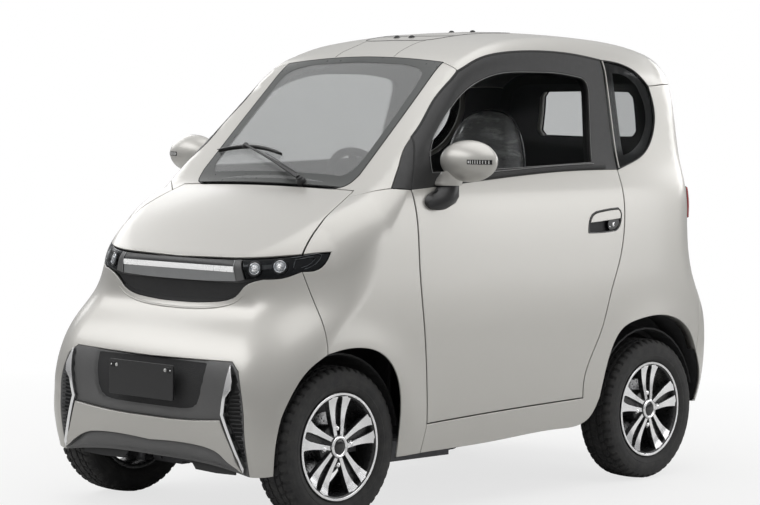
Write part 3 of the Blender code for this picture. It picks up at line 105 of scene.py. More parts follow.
# height, how far the middle of the nose lies behind the plate and that of the tail ahead of the car's end
nose_line = spline([(0.10, 0.115), (0.19, 0.075), (0.30, 0.037), (0.42, 0.022), (0.52, 0.044), (0.60, 0.095),
                    (0.68, 0.151), (0.76, 0.151), (0.83, 0.142), (0.95, 0.145)])
tail_line = spline([(0.15, 0.0839), (0.25, 0.0339), (0.35, 0.0059), (0.50, 0.0019), (0.60, 0.0259),
                    (0.70, 0.0839), (0.80, 0.1189), (1.00, 0.1239), (1.25, 0.1119), (1.40, 0.1219),
                    (1.55, 0.1689)])
# height, radius in plan of the front corners
nose_corner = spline([(0.20, 0.12), (0.35, 0.14), (0.50, 0.18), (0.65, 0.21), (0.78, 0.32), (1.00, 0.34)])
TAIL_CORNER = 0.135
SCREEN_FOOT_Y, SCREEN_FOOT_Z, SCREEN_SLOPE = -0.596, 1.052, 0.985


def round_max(a, b, radius):
    """Greater of two distances, with the corner between their surfaces rounded."""
    both = np.hypot(np.maximum(a + radius, 0), np.maximum(b + radius, 0))
    return np.minimum(-radius, np.maximum(a, b)) + both


def soft_max(a, b, blend):
    overlap = np.maximum(blend - np.abs(a - b), 0) / blend
    return np.maximum(a, b) + overlap * overlap * blend / 4


def wheel_flare(y, z):
    """How far the side swells round the two arches."""
    swell = 0.0
    for axle, height in ((FRONT, 0.008), (REAR, 0.006)):
        ring = (np.hypot(y - axle, z - TYRE_RADIUS) - 0.30) / 0.07
        swell = swell + height * np.exp(-ring ** 2)
    return swell


def top_height(x, y):
    crown = (x / HALF_GLASS) ** 2
    bonnet = bonnet_line(y) - 0.006 * crown
    along = np.clip((y - SCREEN_FOOT_Y) / 0.45, 0, 1)
    screen = SCREEN_FOOT_Z + SCREEN_SLOPE * (y - SCREEN_FOOT_Y) - (0.010 + 0.011 * along) * crown
    roof = roof_line(y) - 0.022 * crown
    return soft_max(bonnet, -soft_max(-screen, -roof, 0.03), 0.02)


def skin_distance(points):
    """Roughly the distance from the body's outer surface, negative inside."""
    x, y, z = np.abs(points[..., 0]), points[..., 1], points[..., 2]
    lip = 0.030 * (x / 0.42) ** 2 * np.clip((0.36 - z) / 0.2, 0, 1)
    side = x - (side_width(z) + plan_taper(y) + wheel_flare(y, z))
    nose = NOSE + nose_line(z) + 0.006 * (x / HALF_GLASS) ** 2 - lip - y
    tail = y - TAIL + tail_line(z) + 0.022 * (x / 0.45) ** 2
    top = (z - top_height(x, y)) * 0.75
    plan = round_max(round_max(side, nose, nose_corner(z)), tail, TAIL_CORNER)
    # station, radius of the edge between side and top
    edge = np.interp(y, [NOSE + 0.145, NOSE + 0.205, FRONT - 0.007, -0.62, -0.50, -0.20, 0.00, 0.30, 1.00],
                     [0.02, 0.05, 0.11, 0.10, 0.04, 0.035, 0.05, 0.07, 0.10])
    return round_max(plan, top, edge)


def skin_normal(points):
    step = 1e-4
    slope = [skin_distance(points + step * axis) - skin_distance(points - step * axis) for axis in np.eye(3)]
    slope = np.stack(slope, axis=-1)
    return slope / np.linalg.norm(slope, axis=-1, keepdims=True)


def cast(origins, directions):
    """Where rays from inside the car meet its skin."""
    near, far = np.zeros(len(origins)), np.full(len(origins), 1.6)
    for _ in range(40):
        middle = (near + far) / 2
        inside = skin_distance(origins + middle[:, None] * directions) < 0
        near, far = np.where(inside, middle, near), np.where(inside, far, middle)
    return origins + near[:, None] * directions


def seat_on_skin(points):
    for _ in range(3):
        points = points - skin_distance(points)[:, None] * skin_normal(points)
    return points


# ---------------------------------------------------------------- seams drawn on the skin
EDGE = 0.014                    # spacing of points along a seam


def smooth_rows(rows):
    """Evenly spaced points on a smooth curve through a few rows of two coordinates."""
    rows = np.array(rows, float)
    length = np.concatenate([[0], np.cumsum(np.linalg.norm(np.diff(rows, axis=0), axis=1))])
    count = max(2, int(math.ceil(length[-1] / EDGE)) + 1)
    where = np.linspace(0, length[-1], count)
    if len(rows) == 2:
        return rows[0] + (rows[1] - rows[0]) * (where / length[-1])[:, None]
    return np.stack([spline(list(zip(length, column)))(where) for column in rows.T], axis=-1)


def thrown(axis, sign, level):
    """A way to draw seams: rows of the two other coordinates are thrown at the skin, along an axis, from a
    level inside the car."""
    def place(*rows):
        origins = np.insert(smooth_rows(rows), axis, level, axis=1)
        return cast(origins, np.tile(sign * np.eye(3)[axis], (len(origins), 1)))
    return place


on_side = thrown(0, 1, 0.0)     # rows of (station, height), on the car's left
on_top = thrown(2, 1, 0.55)     # rows of (x, station)
on_nose = thrown(1, -1, -0.6)   # rows of (x, height)
on_tail = thrown(1, 1, 0.7)     # rows of (x, height)


def arch(axle, *rows):
    """Stations and heights round a wheel, from rows of (behind the axle, above the ground) in tyre radii."""
    return [(axle + TYRE_RADIUS * behind, TYRE_RADIUS * above) for behind, above in rows]


def spot(place, *row):
    """A point of the skin and its normal there, from one row for on_side, on_top, on_nose or on_tail."""
    point = place(row, (row[0], row[1] + 0.002))[0]
    return point, skin_normal(point[None])[0]


def other_side(seam):
    return seam[::-1] * [-1, 1, 1]


def between(start, end):
    """The straight seam along the skin between two points on it."""
    count = max(2, int(math.ceil(np.linalg.norm(end - start) / EDGE)) + 1)
    share = np.linspace(0, 1, count)[:, None]
    return seat_on_skin(start + (end - start) * share)


def line_of(seam):
    """The points of a seam given by its name, backwards where a minus comes first, or by its points."""
    if isinstance(seam, str):
        return SEAMS[seam[1:]][::-1] if seam[0] == "-" else SEAMS[seam]
    return seam


def outline_of(*seams):
    """One closed outline from (seam, gap) pairs laid end to end: its points and each edge's gap."""
    points, gaps = [], []
    for seam, gap in seams:
        for point in line_of(seam):
            if points and np.linalg.norm(point - points[-1]) < 0.004:
                gaps[-1] = gap
                continue
            points.append(point)
            gaps.append(gap)
    if np.linalg.norm(points[-1] - points[0]) < 0.004:
        points.pop()
        gaps.pop()
    return np.array(points), np.array(gaps)


def both_sides(*seams):
    """An outline across the car from (seam, gap) pairs that run from its middle, round the left side, to its
    middle again."""
    return outline_of(*seams, *[(other_side(line_of(seam)), gap) for seam, gap in reversed(seams)])


def drawn(place, *lines, across=False):
    """An outline without gaps from lines of rows for on_side, on_top, on_nose or on_tail, each starting
    where the one before ends. It closes, or `across` the car it runs from the middle round the left side
    to the middle."""
    lines = [list(rows) for rows in lines]
    if not across:
        lines[-1].append(lines[0][0])
    for before, rows in zip(lines, lines[1:]):
        rows.insert(0, before[-1])
    seams = [(place(*rows), 0.0) for rows in lines]
    return both_sides(*seams) if across else outline_of(*seams)


def cornered(place, *rows):
    """A closed outline with a sharp corner at each row."""
    return drawn(place, rows[:2], *[[row] for row in rows[2:]], [])


def shrunk(outline, gaps):
    """The outline moved along the skin to its left, each edge by half its own gap."""
    back = outline - np.roll(outline, 1, axis=0)
    ahead = np.roll(outline, -1, axis=0) - outline
    normal = skin_normal(outline)
    left_back, left_ahead = np.cross(normal, back), np.cross(normal, ahead)
    left_back /= np.linalg.norm(left_back, axis=1, keepdims=True)
    left_ahead /= np.linalg.norm(left_ahead, axis=1, keepdims=True)
    gap_back, gap_ahead = np.roll(gaps, 1) / 2, gaps / 2
    turn = np.clip((left_back * left_ahead).sum(1), -0.6, 1.0)
    square = 1 - turn ** 2
    straight = square < 0.02
    square = np.where(straight, 1.0, square)
    by_back = np.where(straight, gap_back / 2, (gap_back - turn * gap_ahead) / square)
    by_ahead = np.where(straight, gap_ahead / 2, (gap_ahead - turn * gap_back) / square)
    return seat_on_skin(outline + by_back[:, None] * left_back + by_ahead[:, None] * left_ahead)


class Chart:
    """A flat map of part of the skin, seen from a point inside the car along a direction."""

    def __init__(self, centre, towards):
        self.centre = np.array(centre, float)
        self.pole = np.array(towards, float) / np.linalg.norm(towards)
        across = np.cross([0, 0, 1.0], self.pole)
        if np.linalg.norm(across) < 0.1:
            across = np.array([1.0, 0, 0])
        self.right = across / np.linalg.norm(across)
        self.up = np.cross(self.pole, self.right)

    def flat(self, points):
        away = points - self.centre
        away = away / np.linalg.norm(away, axis=1, keepdims=True)
        angle = np.arccos(np.clip(away @ self.pole, -1, 1))
        side = np.stack([away @ self.right, away @ self.up], axis=-1)
        return side / np.maximum(np.linalg.norm(side, axis=1, keepdims=True), 1e-9) * angle[:, None]

    def onto_skin(self, flat):
        angle = np.linalg.norm(flat, axis=1)
        side = flat / np.maximum(angle, 1e-9)[:, None]
        away = np.cos(angle)[:, None] * self.pole
        away = away + np.sin(angle)[:, None] * (side[:, :1] * self.right + side[:, 1:] * self.up)
        return cast(np.tile(self.centre, (len(flat), 1)), away)


def is_inside(points, polygon):
    inside = np.zeros(len(points), bool)
    for a, b in zip(polygon, np.roll(polygon, -1, axis=0)):
        crosses = (a[1] > points[:, 1]) != (b[1] > points[:, 1])
        with np.errstate(divide="ignore", invalid="ignore"):
            at = (b[0] - a[0]) * (points[:, 1] - a[1]) / (b[1] - a[1]) + a[0]
        inside ^= crosses & (points[:, 0] < at)
    return inside


def distance_to(points, polygon):
    best = np.full(len(points), 9.0)
    for a, b in zip(polygon, np.roll(polygon, -1, axis=0)):
        along = np.clip(((points - a) @ (b - a)) / max((b - a) @ (b - a), 1e-12), 0, 1)
        best = np.minimum(best, np.linalg.norm(points - a - along[:, None] * (b - a), axis=1))
    return best


def area(flat):
    following = np.roll(flat, -1, axis=0)
    return 0.5 * float((flat[:, 0] * following[:, 1] - flat[:, 1] * following[:, 0]).sum())


def untangled(chart, ring):
    """A ring of points on the skin without the small loops that shrinking leaves at sharp corners."""
    flat, ring, count = chart.flat(ring), ring.copy(), len(ring)
    for i in range(count):
        a, b = flat[i], flat[(i + 1) % count]
        for ahead in range(min(14, count // 3), 1, -1):
            j = (i + ahead) % count
            if (j + 1) % count == i:
                continue
            c, d = flat[j], flat[(j + 1) % count]
            first, second = b - a, d - c
            cross = first[0] * second[1] - first[1] * second[0]
            if abs(cross) < 1e-15:
                continue
            along = ((c[0] - a[0]) * second[1] - (c[1] - a[1]) * second[0]) / cross
            beyond = ((c[0] - a[0]) * first[1] - (c[1] - a[1]) * first[0]) / cross
            if 0 <= along <= 1 and 0 <= beyond <= 1:
                meet = a + along * first
                place = chart.onto_skin(meet[None])[0]
                for k in range(i + 1, i + ahead + 1):
                    flat[k % count], ring[k % count] = meet, place
                break
    return ring


def filled(chart, rings, spacing):
    """Points spread over the skin inside the first ring and outside the others, and triangles over all
    points, of which the rings' come first."""
    flats = [chart.flat(ring) for ring in rings]
    reach = float(np.mean([np.linalg.norm(ring - chart.centre, axis=1).mean() for ring in rings]))
    step = spacing / reach
    low, high = flats[0].min(0), flats[0].max(0)
    counts = np.maximum(np.round((high - low) / step).astype(int), 1)
    axes = [low[k] + (np.arange(counts[k]) + 0.5) * (high[k] - low[k]) / counts[k] for k in (0, 1)]
    grid = np.stack(np.meshgrid(*axes), axis=-1)
    grid[1::2, :, 0] += step / 2
    grid = grid.reshape(-1, 2)

    def wanted(points, clear=None):
        keep = is_inside(points, flats[0])
        for flat in flats[1:]:
            keep &= ~is_inside(points, flat)
        for flat in flats if clear else ():
            keep &= distance_to(points, flat) > clear
        return keep

    grid = grid[wanted(grid, 0.55 * step)]
    edges, start = [], 0
    for flat in flats:
        edges += [(start + i, start + (i + 1) % len(flat)) for i in range(len(flat))]
        start += len(flat)
    points = np.concatenate([*flats, grid])
    found = delaunay_2d_cdt([Vector(point) for point in points], edges, [], 1, 1e-7)
    source = [min(old) for old in found[3]]
    triangles = np.array([[source[v] for v in face] for face in found[2]])
    triangles = triangles[wanted(points[triangles].mean(1))]
    return chart.onto_skin(grid) if len(grid) else np.zeros((0, 3)), triangles


def fine_panel(chart, outline, thick, holes=(), depth=0.0, spacing=0.018, hem=HEM, lift=None):
    """A closed piece of the skin with rounded edges, as (points, faces, normals). It lies `depth` under the
    skin, and `lift` moves its outer surface out along the normal by a function of the points."""
    inner_rings, outer_rings = [], []
    for number, (ring, gaps) in enumerate([outline, *holes]):
        counterclockwise = area(chart.flat(ring)) > 0
        if counterclockwise != (number == 0):
            ring, gaps = ring[::-1], np.roll(gaps[::-1], -1)
        outer_rings.append(shrunk(ring, gaps))
        inner_rings.append(untangled(chart, shrunk(ring, gaps + 2 * hem)))
    middle, triangles = filled(chart, inner_rings, spacing)
    ring_in, ring_out = np.concatenate(inner_rings), np.concatenate(outer_rings)
    rim = len(ring_in)
    surface = np.concatenate([ring_in, middle])
    normal, edge_normal = skin_normal(surface), skin_normal(ring_out)
    raised = surface if lift is None else surface + normal * lift(surface)[:, None]
    raised = raised - normal * depth
    away = ring_out - ring_in
    away /= np.maximum(np.linalg.norm(away, axis=1, keepdims=True), 1e-9)
    rows, row_normals = [raised], [normal]
    for turn in np.radians(HEM_TURNS):
        rows.append(raised[:rim] + (ring_out - ring_in) * math.sin(turn)
                    - edge_normal * hem * (1 - math.cos(turn)))
        row_normals.append(away * math.sin(turn) + edge_normal * math.cos(turn))
    rows.append(np.concatenate([ring_out - edge_normal * (depth + thick),
                                middle - normal[rim:] * (depth + thick)]))
    row_normals.append(-np.concatenate([edge_normal, normal[rim:]]))
    starts = [0, *(len(surface) + rim * k for k in range(4))]
    faces = [tuple(t) for t in triangles] + [tuple(v + starts[4] for v in t[::-1]) for t in triangles]
    directed = {(t[i], t[(i + 1) % 3]) for t in triangles for i in range(3)}
    for a, b in directed:
        if (b, a) not in directed:
            for upper, lower in zip(starts[:-1], starts[1:]):
                faces.append((b + upper, a + upper, a + lower, b + lower))
    return np.concatenate(rows), faces, np.concatenate(row_normals)


def mirrored(solid):
    points, faces, *normals = solid
    return (points * [-1, 1, 1], [tuple(face)[::-1] for face in faces], *[n * [-1, 1, 1] for n in normals])


def merged(*solids):
    """Several solids as one (points, faces)."""
    points, faces, start = [], [], 0
    for solid in solids:
        points.append(np.asarray(solid[0], float))
        faces += [tuple(int(v) + start for v in face) for face in solid[1]]
        start += len(solid[0])
    return np.concatenate(points), faces


def made(name, solid, finish, body, replaces=(), smooth=35, bevel=0.0, slot=None):
    """One piece from (points, faces) or (points, faces, normals), riding on a body. Its slot, its finish's
    own unless one is given, is worked out but not kept."""
    points, faces, *normals = solid
    mesh = bpy.data.meshes.new(name)
    mesh.from_pydata([tuple(p) for p in np.asarray(points, float) + np.array(HOME)], [],
                     [tuple(int(v) for v in face) for face in faces])
    mesh.update()
    piece = bpy.data.objects.new(name, mesh)
    bpy.context.scene.collection.objects.link(piece)
    for item in (finish if isinstance(finish, (list, tuple)) else [finish]):
        mesh.materials.append(item)
    if smooth:
        mesh.shade_smooth()
        if normals:
            mesh.normals_split_custom_set_from_vertices([tuple(n) for n in normals[0]])
        elif smooth < 180:
            mesh.set_sharp_from_angle(angle=math.radians(smooth))
    if bevel:
        rounding = piece.modifiers.new("edges", "BEVEL")
        rounding.width, rounding.segments, rounding.limit_method = bevel, 2, "ANGLE"
        rounding.angle_limit = math.radians(30)
        rounding.harden_normals = True
    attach(piece, body)
    if replaces:
        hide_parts(*([replaces] if isinstance(replaces, str) else replaces))
    slot = slot or slot_of(mesh.materials[0])
    return piece


def on_both(name, solid, finish, body, replaces=(), **more):
    """The same piece on the left and the right; `body` and the nodes in `replaces` hold SIDE where left or
    right stands in their names."""
    nodes = [replaces] if isinstance(replaces, str) else list(replaces)
    pieces = []
    for side, one in (("left", solid), ("right", mirrored(solid))):
        pieces.append(made(f"{name}_{side}", one, finish, body.replace("SIDE", side),
                           [node.replace("SIDE", side) for node in nodes], **more))
    return pieces


# ---------------------------------------------------------------- simple forms, as (points, faces)
def block(x, y, z):
    corners = np.array([(a, b, c) for c in z for b in y for a in x], float)
    return corners, [(0, 2, 3, 1), (4, 5, 7, 6), (0, 1, 5, 4), (2, 6, 7, 3), (0, 4, 6, 2), (1, 3, 7, 5)]


def frame_along(path):
    """Unit vectors across and up for each point of a path."""
    along = np.gradient(path, axis=0)
    along /= np.linalg.norm(along, axis=1, keepdims=True)
    up = np.array([0, 0, 1.0]) if abs(along[0][2]) < 0.9 else np.array([1.0, 0, 0])
    ups, acrosses = [], []
    for one in along:
        across = np.cross(one, up)
        across /= np.linalg.norm(across)
        up = np.cross(across, one)
        ups.append(up)
        acrosses.append(across)
    return acrosses, ups


def turns(sides):
    return 2 * math.pi * np.arange(sides) / sides


def lofted(rings, closed=False):
    """Rings of equal size joined one to the next, and capped unless they close. They face out where each ring
    runs anticlockwise seen from the next."""
    count, size = len(rings), len(rings[0])
    faces = []
    for i in range(count if closed else count - 1):
        a, b = i * size, (i + 1) % count * size
        faces += [(a + k, a + (k + 1) % size, b + (k + 1) % size, b + k) for k in range(size)]
    if not closed:
        faces += [tuple(range(size))[::-1], tuple(range((count - 1) * size, count * size))]
    return np.concatenate(rings), faces


def fanned(start, rings, end):
    """Rings joined one to the next, from one closing point to another."""
    points, faces = lofted(rings)
    size, count = len(rings[0]), len(points)
    faces = faces[:-2]
    for i in range(size):
        j = (i + 1) % size
        faces += [(count, j, i), (count + 1, count - size + i, count - size + j)]
    return np.concatenate([points, [start, end]]), faces


def swept(path, section, closed=False, scale=None):
    """A section, rows of (across, up), carried along a path; capped unless the path is closed."""
    path, section = np.asarray(path, float), np.asarray(section, float)
    across, up = frame_along(path)
    scale = np.ones(len(path)) if scale is None else scale
    return lofted([p + s * (section[:, :1] * a + section[:, 1:] * u)
                   for p, a, u, s in zip(path, across, up, scale)], closed)


def circle(radius, sides=12, flat=1.0):
    return np.stack([radius * np.cos(turns(sides)), radius * flat * np.sin(turns(sides))], axis=1)


def rounded(wide, tall, radius, steps=4):
    """A rectangle with round corners, as rows of two coordinates about its middle."""
    rows = []
    for cx, cy, start in ((1, 1, 0), (-1, 1, 90), (-1, -1, 180), (1, -1, 270)):
        for k in range(steps + 1):
            turn = math.radians(start + 90 * k / steps)
            rows.append((cx * (wide / 2 - radius) + radius * math.cos(turn), cy * (tall / 2 - radius)
                         + radius * math.sin(turn)))
    return np.array(rows)


def turned(profile, centre, sides):
    """A closed profile of (along X, radius) rows turned about an axle at the centre."""
    along, radius = np.array(profile, float).T
    return lofted([np.stack([along, radius * math.cos(turn), radius * math.sin(turn)],
                            axis=1) + np.array(centre) for turn in turns(sides)], True)


def axes_across(axis):
    """The unit vector along an axis and two across it."""
    axis = np.array(axis, float) / np.linalg.norm(axis)
    side = np.cross(axis, [0, 0, 1.0] if abs(axis[2]) < 0.9 else [1.0, 0, 0])
    side /= np.linalg.norm(side)
    return axis, side, np.cross(axis, side)


def disc_of(centre, axis, radius, rise, rings=6, sides=28, back=0.004):
    """A domed disc facing an axis, for lenses, caps and nuts."""
    axis, side, other = axes_across(axis)
    centre, turn = np.array(centre, float), turns(sides)[:, None]
    ring = radius * (np.cos(turn) * side + np.sin(turn) * other)
    dome = [centre + ring * share + axis * rise * math.sqrt(1 - share ** 2)
            for share in np.arange(rings, 0, -1) / rings]
    return fanned(centre - axis * back, [centre + ring - axis * back, *dome], centre + axis * rise)


def ring_about(centre, axis, radius, tube):
    """A ring of round section about an axis."""
    axis, side, other = axes_across(axis)
    swing = turns(8)[:, None]
    rings = []
    for turn in turns(36):
        out = math.cos(turn) * side + math.sin(turn) * other
        rings.append(np.array(centre) + out * (radius + tube * np.cos(swing)) - axis * tube * np.sin(swing))
    return lofted(rings, True)


# ---------------------------------------------------------------- seams shared by neighbouring panels (left)
def draw_seams():
    """Each seam once, by name. Rows are (station, height) on the side, (x, station) on top and (x, height)
    on the nose and tail."""
    s = {}
    s["bonnet_back"] = on_top((0.000, -0.606), (HALF_GLASS - 0.050, -0.606))
    s["bonnet_corner"] = on_top((HALF_GLASS - 0.050, -0.606), (0.400, -0.606))
    s["bonnet_pillar"] = on_top((0.400, -0.606), (0.412, -0.650))
    s["bonnet_fender"] = on_top((0.412, -0.650), (0.424, (FRONT - 0.007 - 2 * 0.650) / 3),
                                (0.440, FRONT - 0.007), (0.453, FRONT - 0.091))
    lamp_top = s["bonnet_fender"][-1]
    s["bonnet_nose"] = on_nose((lamp_top[0], lamp_top[2]), (0.357, 0.836), (0.180, 0.829), (0.000, 0.825))
    s["screen_corner"] = on_top((HALF_GLASS - 0.050, -0.606), (HALF_GLASS - 0.012, -0.588),
                                (HALF_GLASS + 0.008, -0.545))
    s["screen_side"] = on_top((HALF_GLASS + 0.008, -0.545), (HALF_GLASS + 0.008, -0.350),
                              (HALF_GLASS + 0.004, -0.150))
    s["screen_top"] = on_top((HALF_GLASS + 0.004, -0.150), (0.200, -0.152), (0.000, -0.152))
    s["frame_front"] = on_side((-0.497, 1.046), (-0.452, 1.130), (-0.408, 1.213))
    s["frame_pillar"] = on_side((-0.408, 1.213), (-0.366, 1.252), (-0.253, 1.361), (-0.165, 1.432))
    s["frame_roof"] = on_side((-0.165, 1.432), (-0.046, 1.478), (0.059, 1.498), (0.200, 1.509),
                              (0.331, 1.511), (0.460, 1.505), (0.592, 1.490))
    s["pillar_roof"] = between(s["frame_pillar"][-1], s["screen_side"][-1])
    s["triangle_front"] = on_side((-0.558, 1.050), (-0.483, 1.139), (-0.408, 1.213))
    s["pillar_foot"] = between(s["bonnet_pillar"][-1], s["triangle_front"][0])
    s["triangle_foot"] = on_side((-0.558, 1.050), (-0.497, 1.046))
    s["door_front"] = on_side((-0.497, 1.046), (-0.484, 0.950), (-0.476, 0.800), (-0.454, 0.600),
                              (-0.430, 0.400), (-0.417, 0.294))
    s["door_foot"] = on_side((-0.417, 0.294), (-0.058, 0.309), (0.379, 0.321))
    s["door_back"] = on_side((0.379, 0.321), (0.375, 0.380), (0.408, 0.469), (0.450, 0.540), (0.510, 0.690),
                             (0.560, 0.800), (0.584, 0.900), (0.591, 1.000), (0.591, 1.107))
    s["frame_back"] = on_side((0.591, 1.107), (0.594, 1.300), (0.592, 1.490))
    s["belt"] = on_side((0.591, 1.107), (0.320, 1.103), (0.052, 1.088), (-0.269, 1.063), (-0.497, 1.046))
    s["sill_front"] = on_side((-0.417, 0.294), (-0.433, 0.200))
    behind = arch(FRONT, (0.988, 0.788), (0.980, 1.200), (0.924, 1.640), (0.796, 1.928), (0.572, 2.132),
                  (0.192, 2.236), (-0.148, 2.228), (-0.400, 2.184))
    before = arch(FRONT, (-0.400, 2.184), (-0.668, 2.024), (-0.900, 1.720), (-1.028, 1.380), (-1.060, 1.040),
                  (-1.028, 0.712))
    s["fender_foot"] = on_side((-0.433, 0.200), behind[0])
    s["front_arch"] = on_side(*behind)
    s["nose_arch"] = on_side(*before)
    s["nose_fender"] = on_side(before[0], (FRONT - 0.099, 0.606), (FRONT - 0.095, 0.700),
                               (FRONT - 0.104, 0.795))
    s["lamp_tip"] = on_side((FRONT - 0.104, 0.795), (FRONT - 0.075, 0.798), (FRONT - 0.047, 0.818),
                            (FRONT - 0.022, 0.855))
    s["lamp_roof"] = between(s["lamp_tip"][-1], lamp_top)
    lamp_heel = s["lamp_tip"][0]
    s["lamp_foot"] = on_nose((lamp_heel[0], lamp_heel[2]), (0.430, 0.776), (0.370, 0.768))
    s["recess_top"] = on_nose((0.370, 0.768), (0.300, 0.753), (0.180, 0.748), (0.000, 0.748))
    s["recess_foot"] = on_nose((0.370, 0.768), (0.330, 0.757), (0.300, 0.742), (0.270, 0.715), (0.225, 0.696),
                               (0.160, 0.687), (0.080, 0.682), (0.000, 0.681))
    s["insert_top"] = on_nose((0.000, 0.513), (0.180, 0.516), (0.367, 0.520))
    s["insert_corner"] = on_nose((0.367, 0.520), (0.402, 0.494))
    s["insert_side"] = on_nose((0.402, 0.494), (0.427, 0.423), (0.437, 0.320), (0.438, 0.240), (0.436, 0.170))
    s["insert_foot"] = on_nose((0.436, 0.170), (0.300, 0.186), (0.000, 0.192))
    s["nose_foot"] = between(s["nose_arch"][-1], s["insert_foot"][0])
    before = arch(REAR, (-1.456, 1.004), (-1.304, 1.272), (-1.148, 1.852), (-0.900, 2.192), (-0.496, 2.324),
                  (0.028, 2.360), (0.500, 2.260), (0.784, 2.072), (0.968, 1.796))
    behind = arch(REAR, (0.968, 1.796), (1.128, 1.480), (1.180, 1.264), (1.128, 1.048))
    s["sill_foot"] = on_side((-0.433, 0.200), (-0.038, 0.209), (0.275, 0.221), *before[:2])
    s["rear_arch"] = on_side(*before[1:])
    s["tail_arch"] = on_side(*behind)
    s["tail_quarter"] = on_side(behind[0], (REAR + 0.262, 0.550), (REAR + 0.277, 0.640),
                                (REAR + 0.292, 0.700))
    s["hatch_foot"] = on_tail((0.430, 0.712), (0.000, 0.712))
    s["tail_corner"] = between(s["tail_quarter"][-1], s["hatch_foot"][0])
    s["hatch_quarter"] = on_tail((0.430, 0.712), (0.430, 0.900), (0.425, 1.100), (0.410, 1.280),
                                 (0.378, 1.405))
    s["hatch_roof"] = on_tail((0.378, 1.405), (0.325, 1.438), (0.200, 1.452), (0.000, 1.455))
    s["tail_foot"] = between(s["tail_arch"][-1], on_tail((0.400, 0.245), (0.0, 0.245))[0])
    s["tail_foot_middle"] = on_tail((0.400, 0.245), (0.000, 0.245))
    s["quarter_roof"] = on_side((0.592, 1.490), (0.711, 1.479), (0.789, 1.453), (0.852, 1.404))
    s["quarter_back"] = on_side((0.852, 1.404), (0.872, 1.319), (0.842, 1.229), (0.778, 1.168),
                                (0.674, 1.129), (0.591, 1.107))
    s["roof_tail"] = between(s["quarter_roof"][-1], s["hatch_quarter"][-1])
    return s


SEAMS = draw_seams()


# ---------------------------------------------------------------- finishes
class Nodes:
    """A node tree under construction."""

    def __init__(self, tree):
        self.tree = tree

    def node(self, kind, inputs=None, **settings):
        """A new node; each of its inputs gets a value, or a link from an output."""
        new = self.tree.nodes.new(kind)
        for key, value in settings.items():
            setattr(new, key, value)
        for socket, value in (inputs or {}).items():
            if isinstance(value, bpy.types.NodeSocket):
                self.tree.links.new(value, new.inputs[socket])
            else:
                new.inputs[socket].default_value = value
        return new

    def maths(self, kind, a, b):
        return self.node("ShaderNodeMath", {0: a, 1: b}, operation=kind).outputs[0]

    def range(self, value, low, high, start=0.0, end=1.0):
        """A value mapped from start and end to low and high."""
        return self.node("ShaderNodeMapRange", {"Value": value, "From Min": start, "From Max": end,
                                                "To Min": low, "To Max": high}).outputs["Result"]

    def blend(self, share, under, over):
        return self.node("ShaderNodeMixShader", {0: share, 1: under.outputs[0], 2: over.outputs[0]})

    def show(self, shader, output="Material Output"):
        self.tree.links.new(shader.outputs[0], self.tree.nodes[output].inputs["Surface"])


class Finish(Nodes):
    """A material under construction: one Principled shader and the procedural detail that drives it."""

    def __init__(self, name, colour, rough, metal=0.0, **sockets):
        self.material = bpy.data.materials.new(name)
        self.material.use_nodes = True
        super().__init__(self.material.node_tree)
        self.shader = self.tree.nodes["Principled BSDF"]
        for socket, value in {"Base_Color": (*colour, 1), "Roughness": rough, "Metallic": metal,
                              **sockets}.items():
            self.shader.inputs[socket.replace("_", " ")].default_value = value
        self.material.diffuse_color = (*colour, 1)
        self.place = self.node("ShaderNodeTexCoord").outputs["Object"]
        self.bumped = None

    def noise(self, scale, detail=3.0, rough=0.5, stretch=None):
        place = self.place
        if stretch:
            place = self.node("ShaderNodeMapping", {"Scale": stretch, "Vector": place},
                              vector_type="TEXTURE").outputs[0]
        return self.node("ShaderNodeTexNoise", {"Scale": scale, "Detail": detail, "Roughness": rough,
                                                "Vector": place}).outputs["Fac"]

    def cells(self, scale, output="Distance"):
        return self.node("ShaderNodeTexVoronoi", {"Scale": scale, "Vector": self.place}).outputs[output]

    def waves(self, scale, direction, bent=0.0):
        return self.node("ShaderNodeTexWave", {"Scale": scale, "Distortion": bent, "Vector": self.place},
                         bands_direction=direction).outputs["Fac"]

    def mix(self, amount, a, b):
        """Two colours, or outputs, mixed."""
        a, b = ((*c, 1) if isinstance(c, tuple) else c for c in (a, b))
        return self.node("ShaderNodeMix", {"Factor": amount, 6: a, 7: b}, data_type="RGBA").outputs[2]

    def drive(self, socket, source):
        self.tree.links.new(source, self.shader.inputs[socket])
        return self

    def tint(self, amount, a, b):
        return self.drive("Base Color", self.mix(amount, a, b))

    def vary(self, amount, low, high):
        return self.drive("Roughness", self.range(amount, low, high))

    def bump(self, height, distance, strength=1.0):
        inputs = {"Distance": distance, "Strength": strength, "Height": height}
        if self.bumped is not None:
            inputs["Normal"] = self.bumped
        self.bumped = self.node("ShaderNodeBump", inputs).outputs["Normal"]
        return self.drive("Normal", self.bumped)


def shade(colour, amount):
    return tuple(min(1.0, c * amount) for c in colour)


def plastic(name, colour, rough, grain=900, depth=0.00012, worn=0.12):
    """Moulded plastic: a fine pebbled grain, slightly uneven colour and sheen."""
    look = Finish(name, colour, rough)
    patch = look.noise(9, 4)
    look.tint(patch, shade(colour, 1 - worn), shade(colour, 1 + 2 * worn))
    look.vary(look.noise(60, 3), rough - 0.07, rough + 0.07)
    return look.bump(look.cells(grain), depth).material


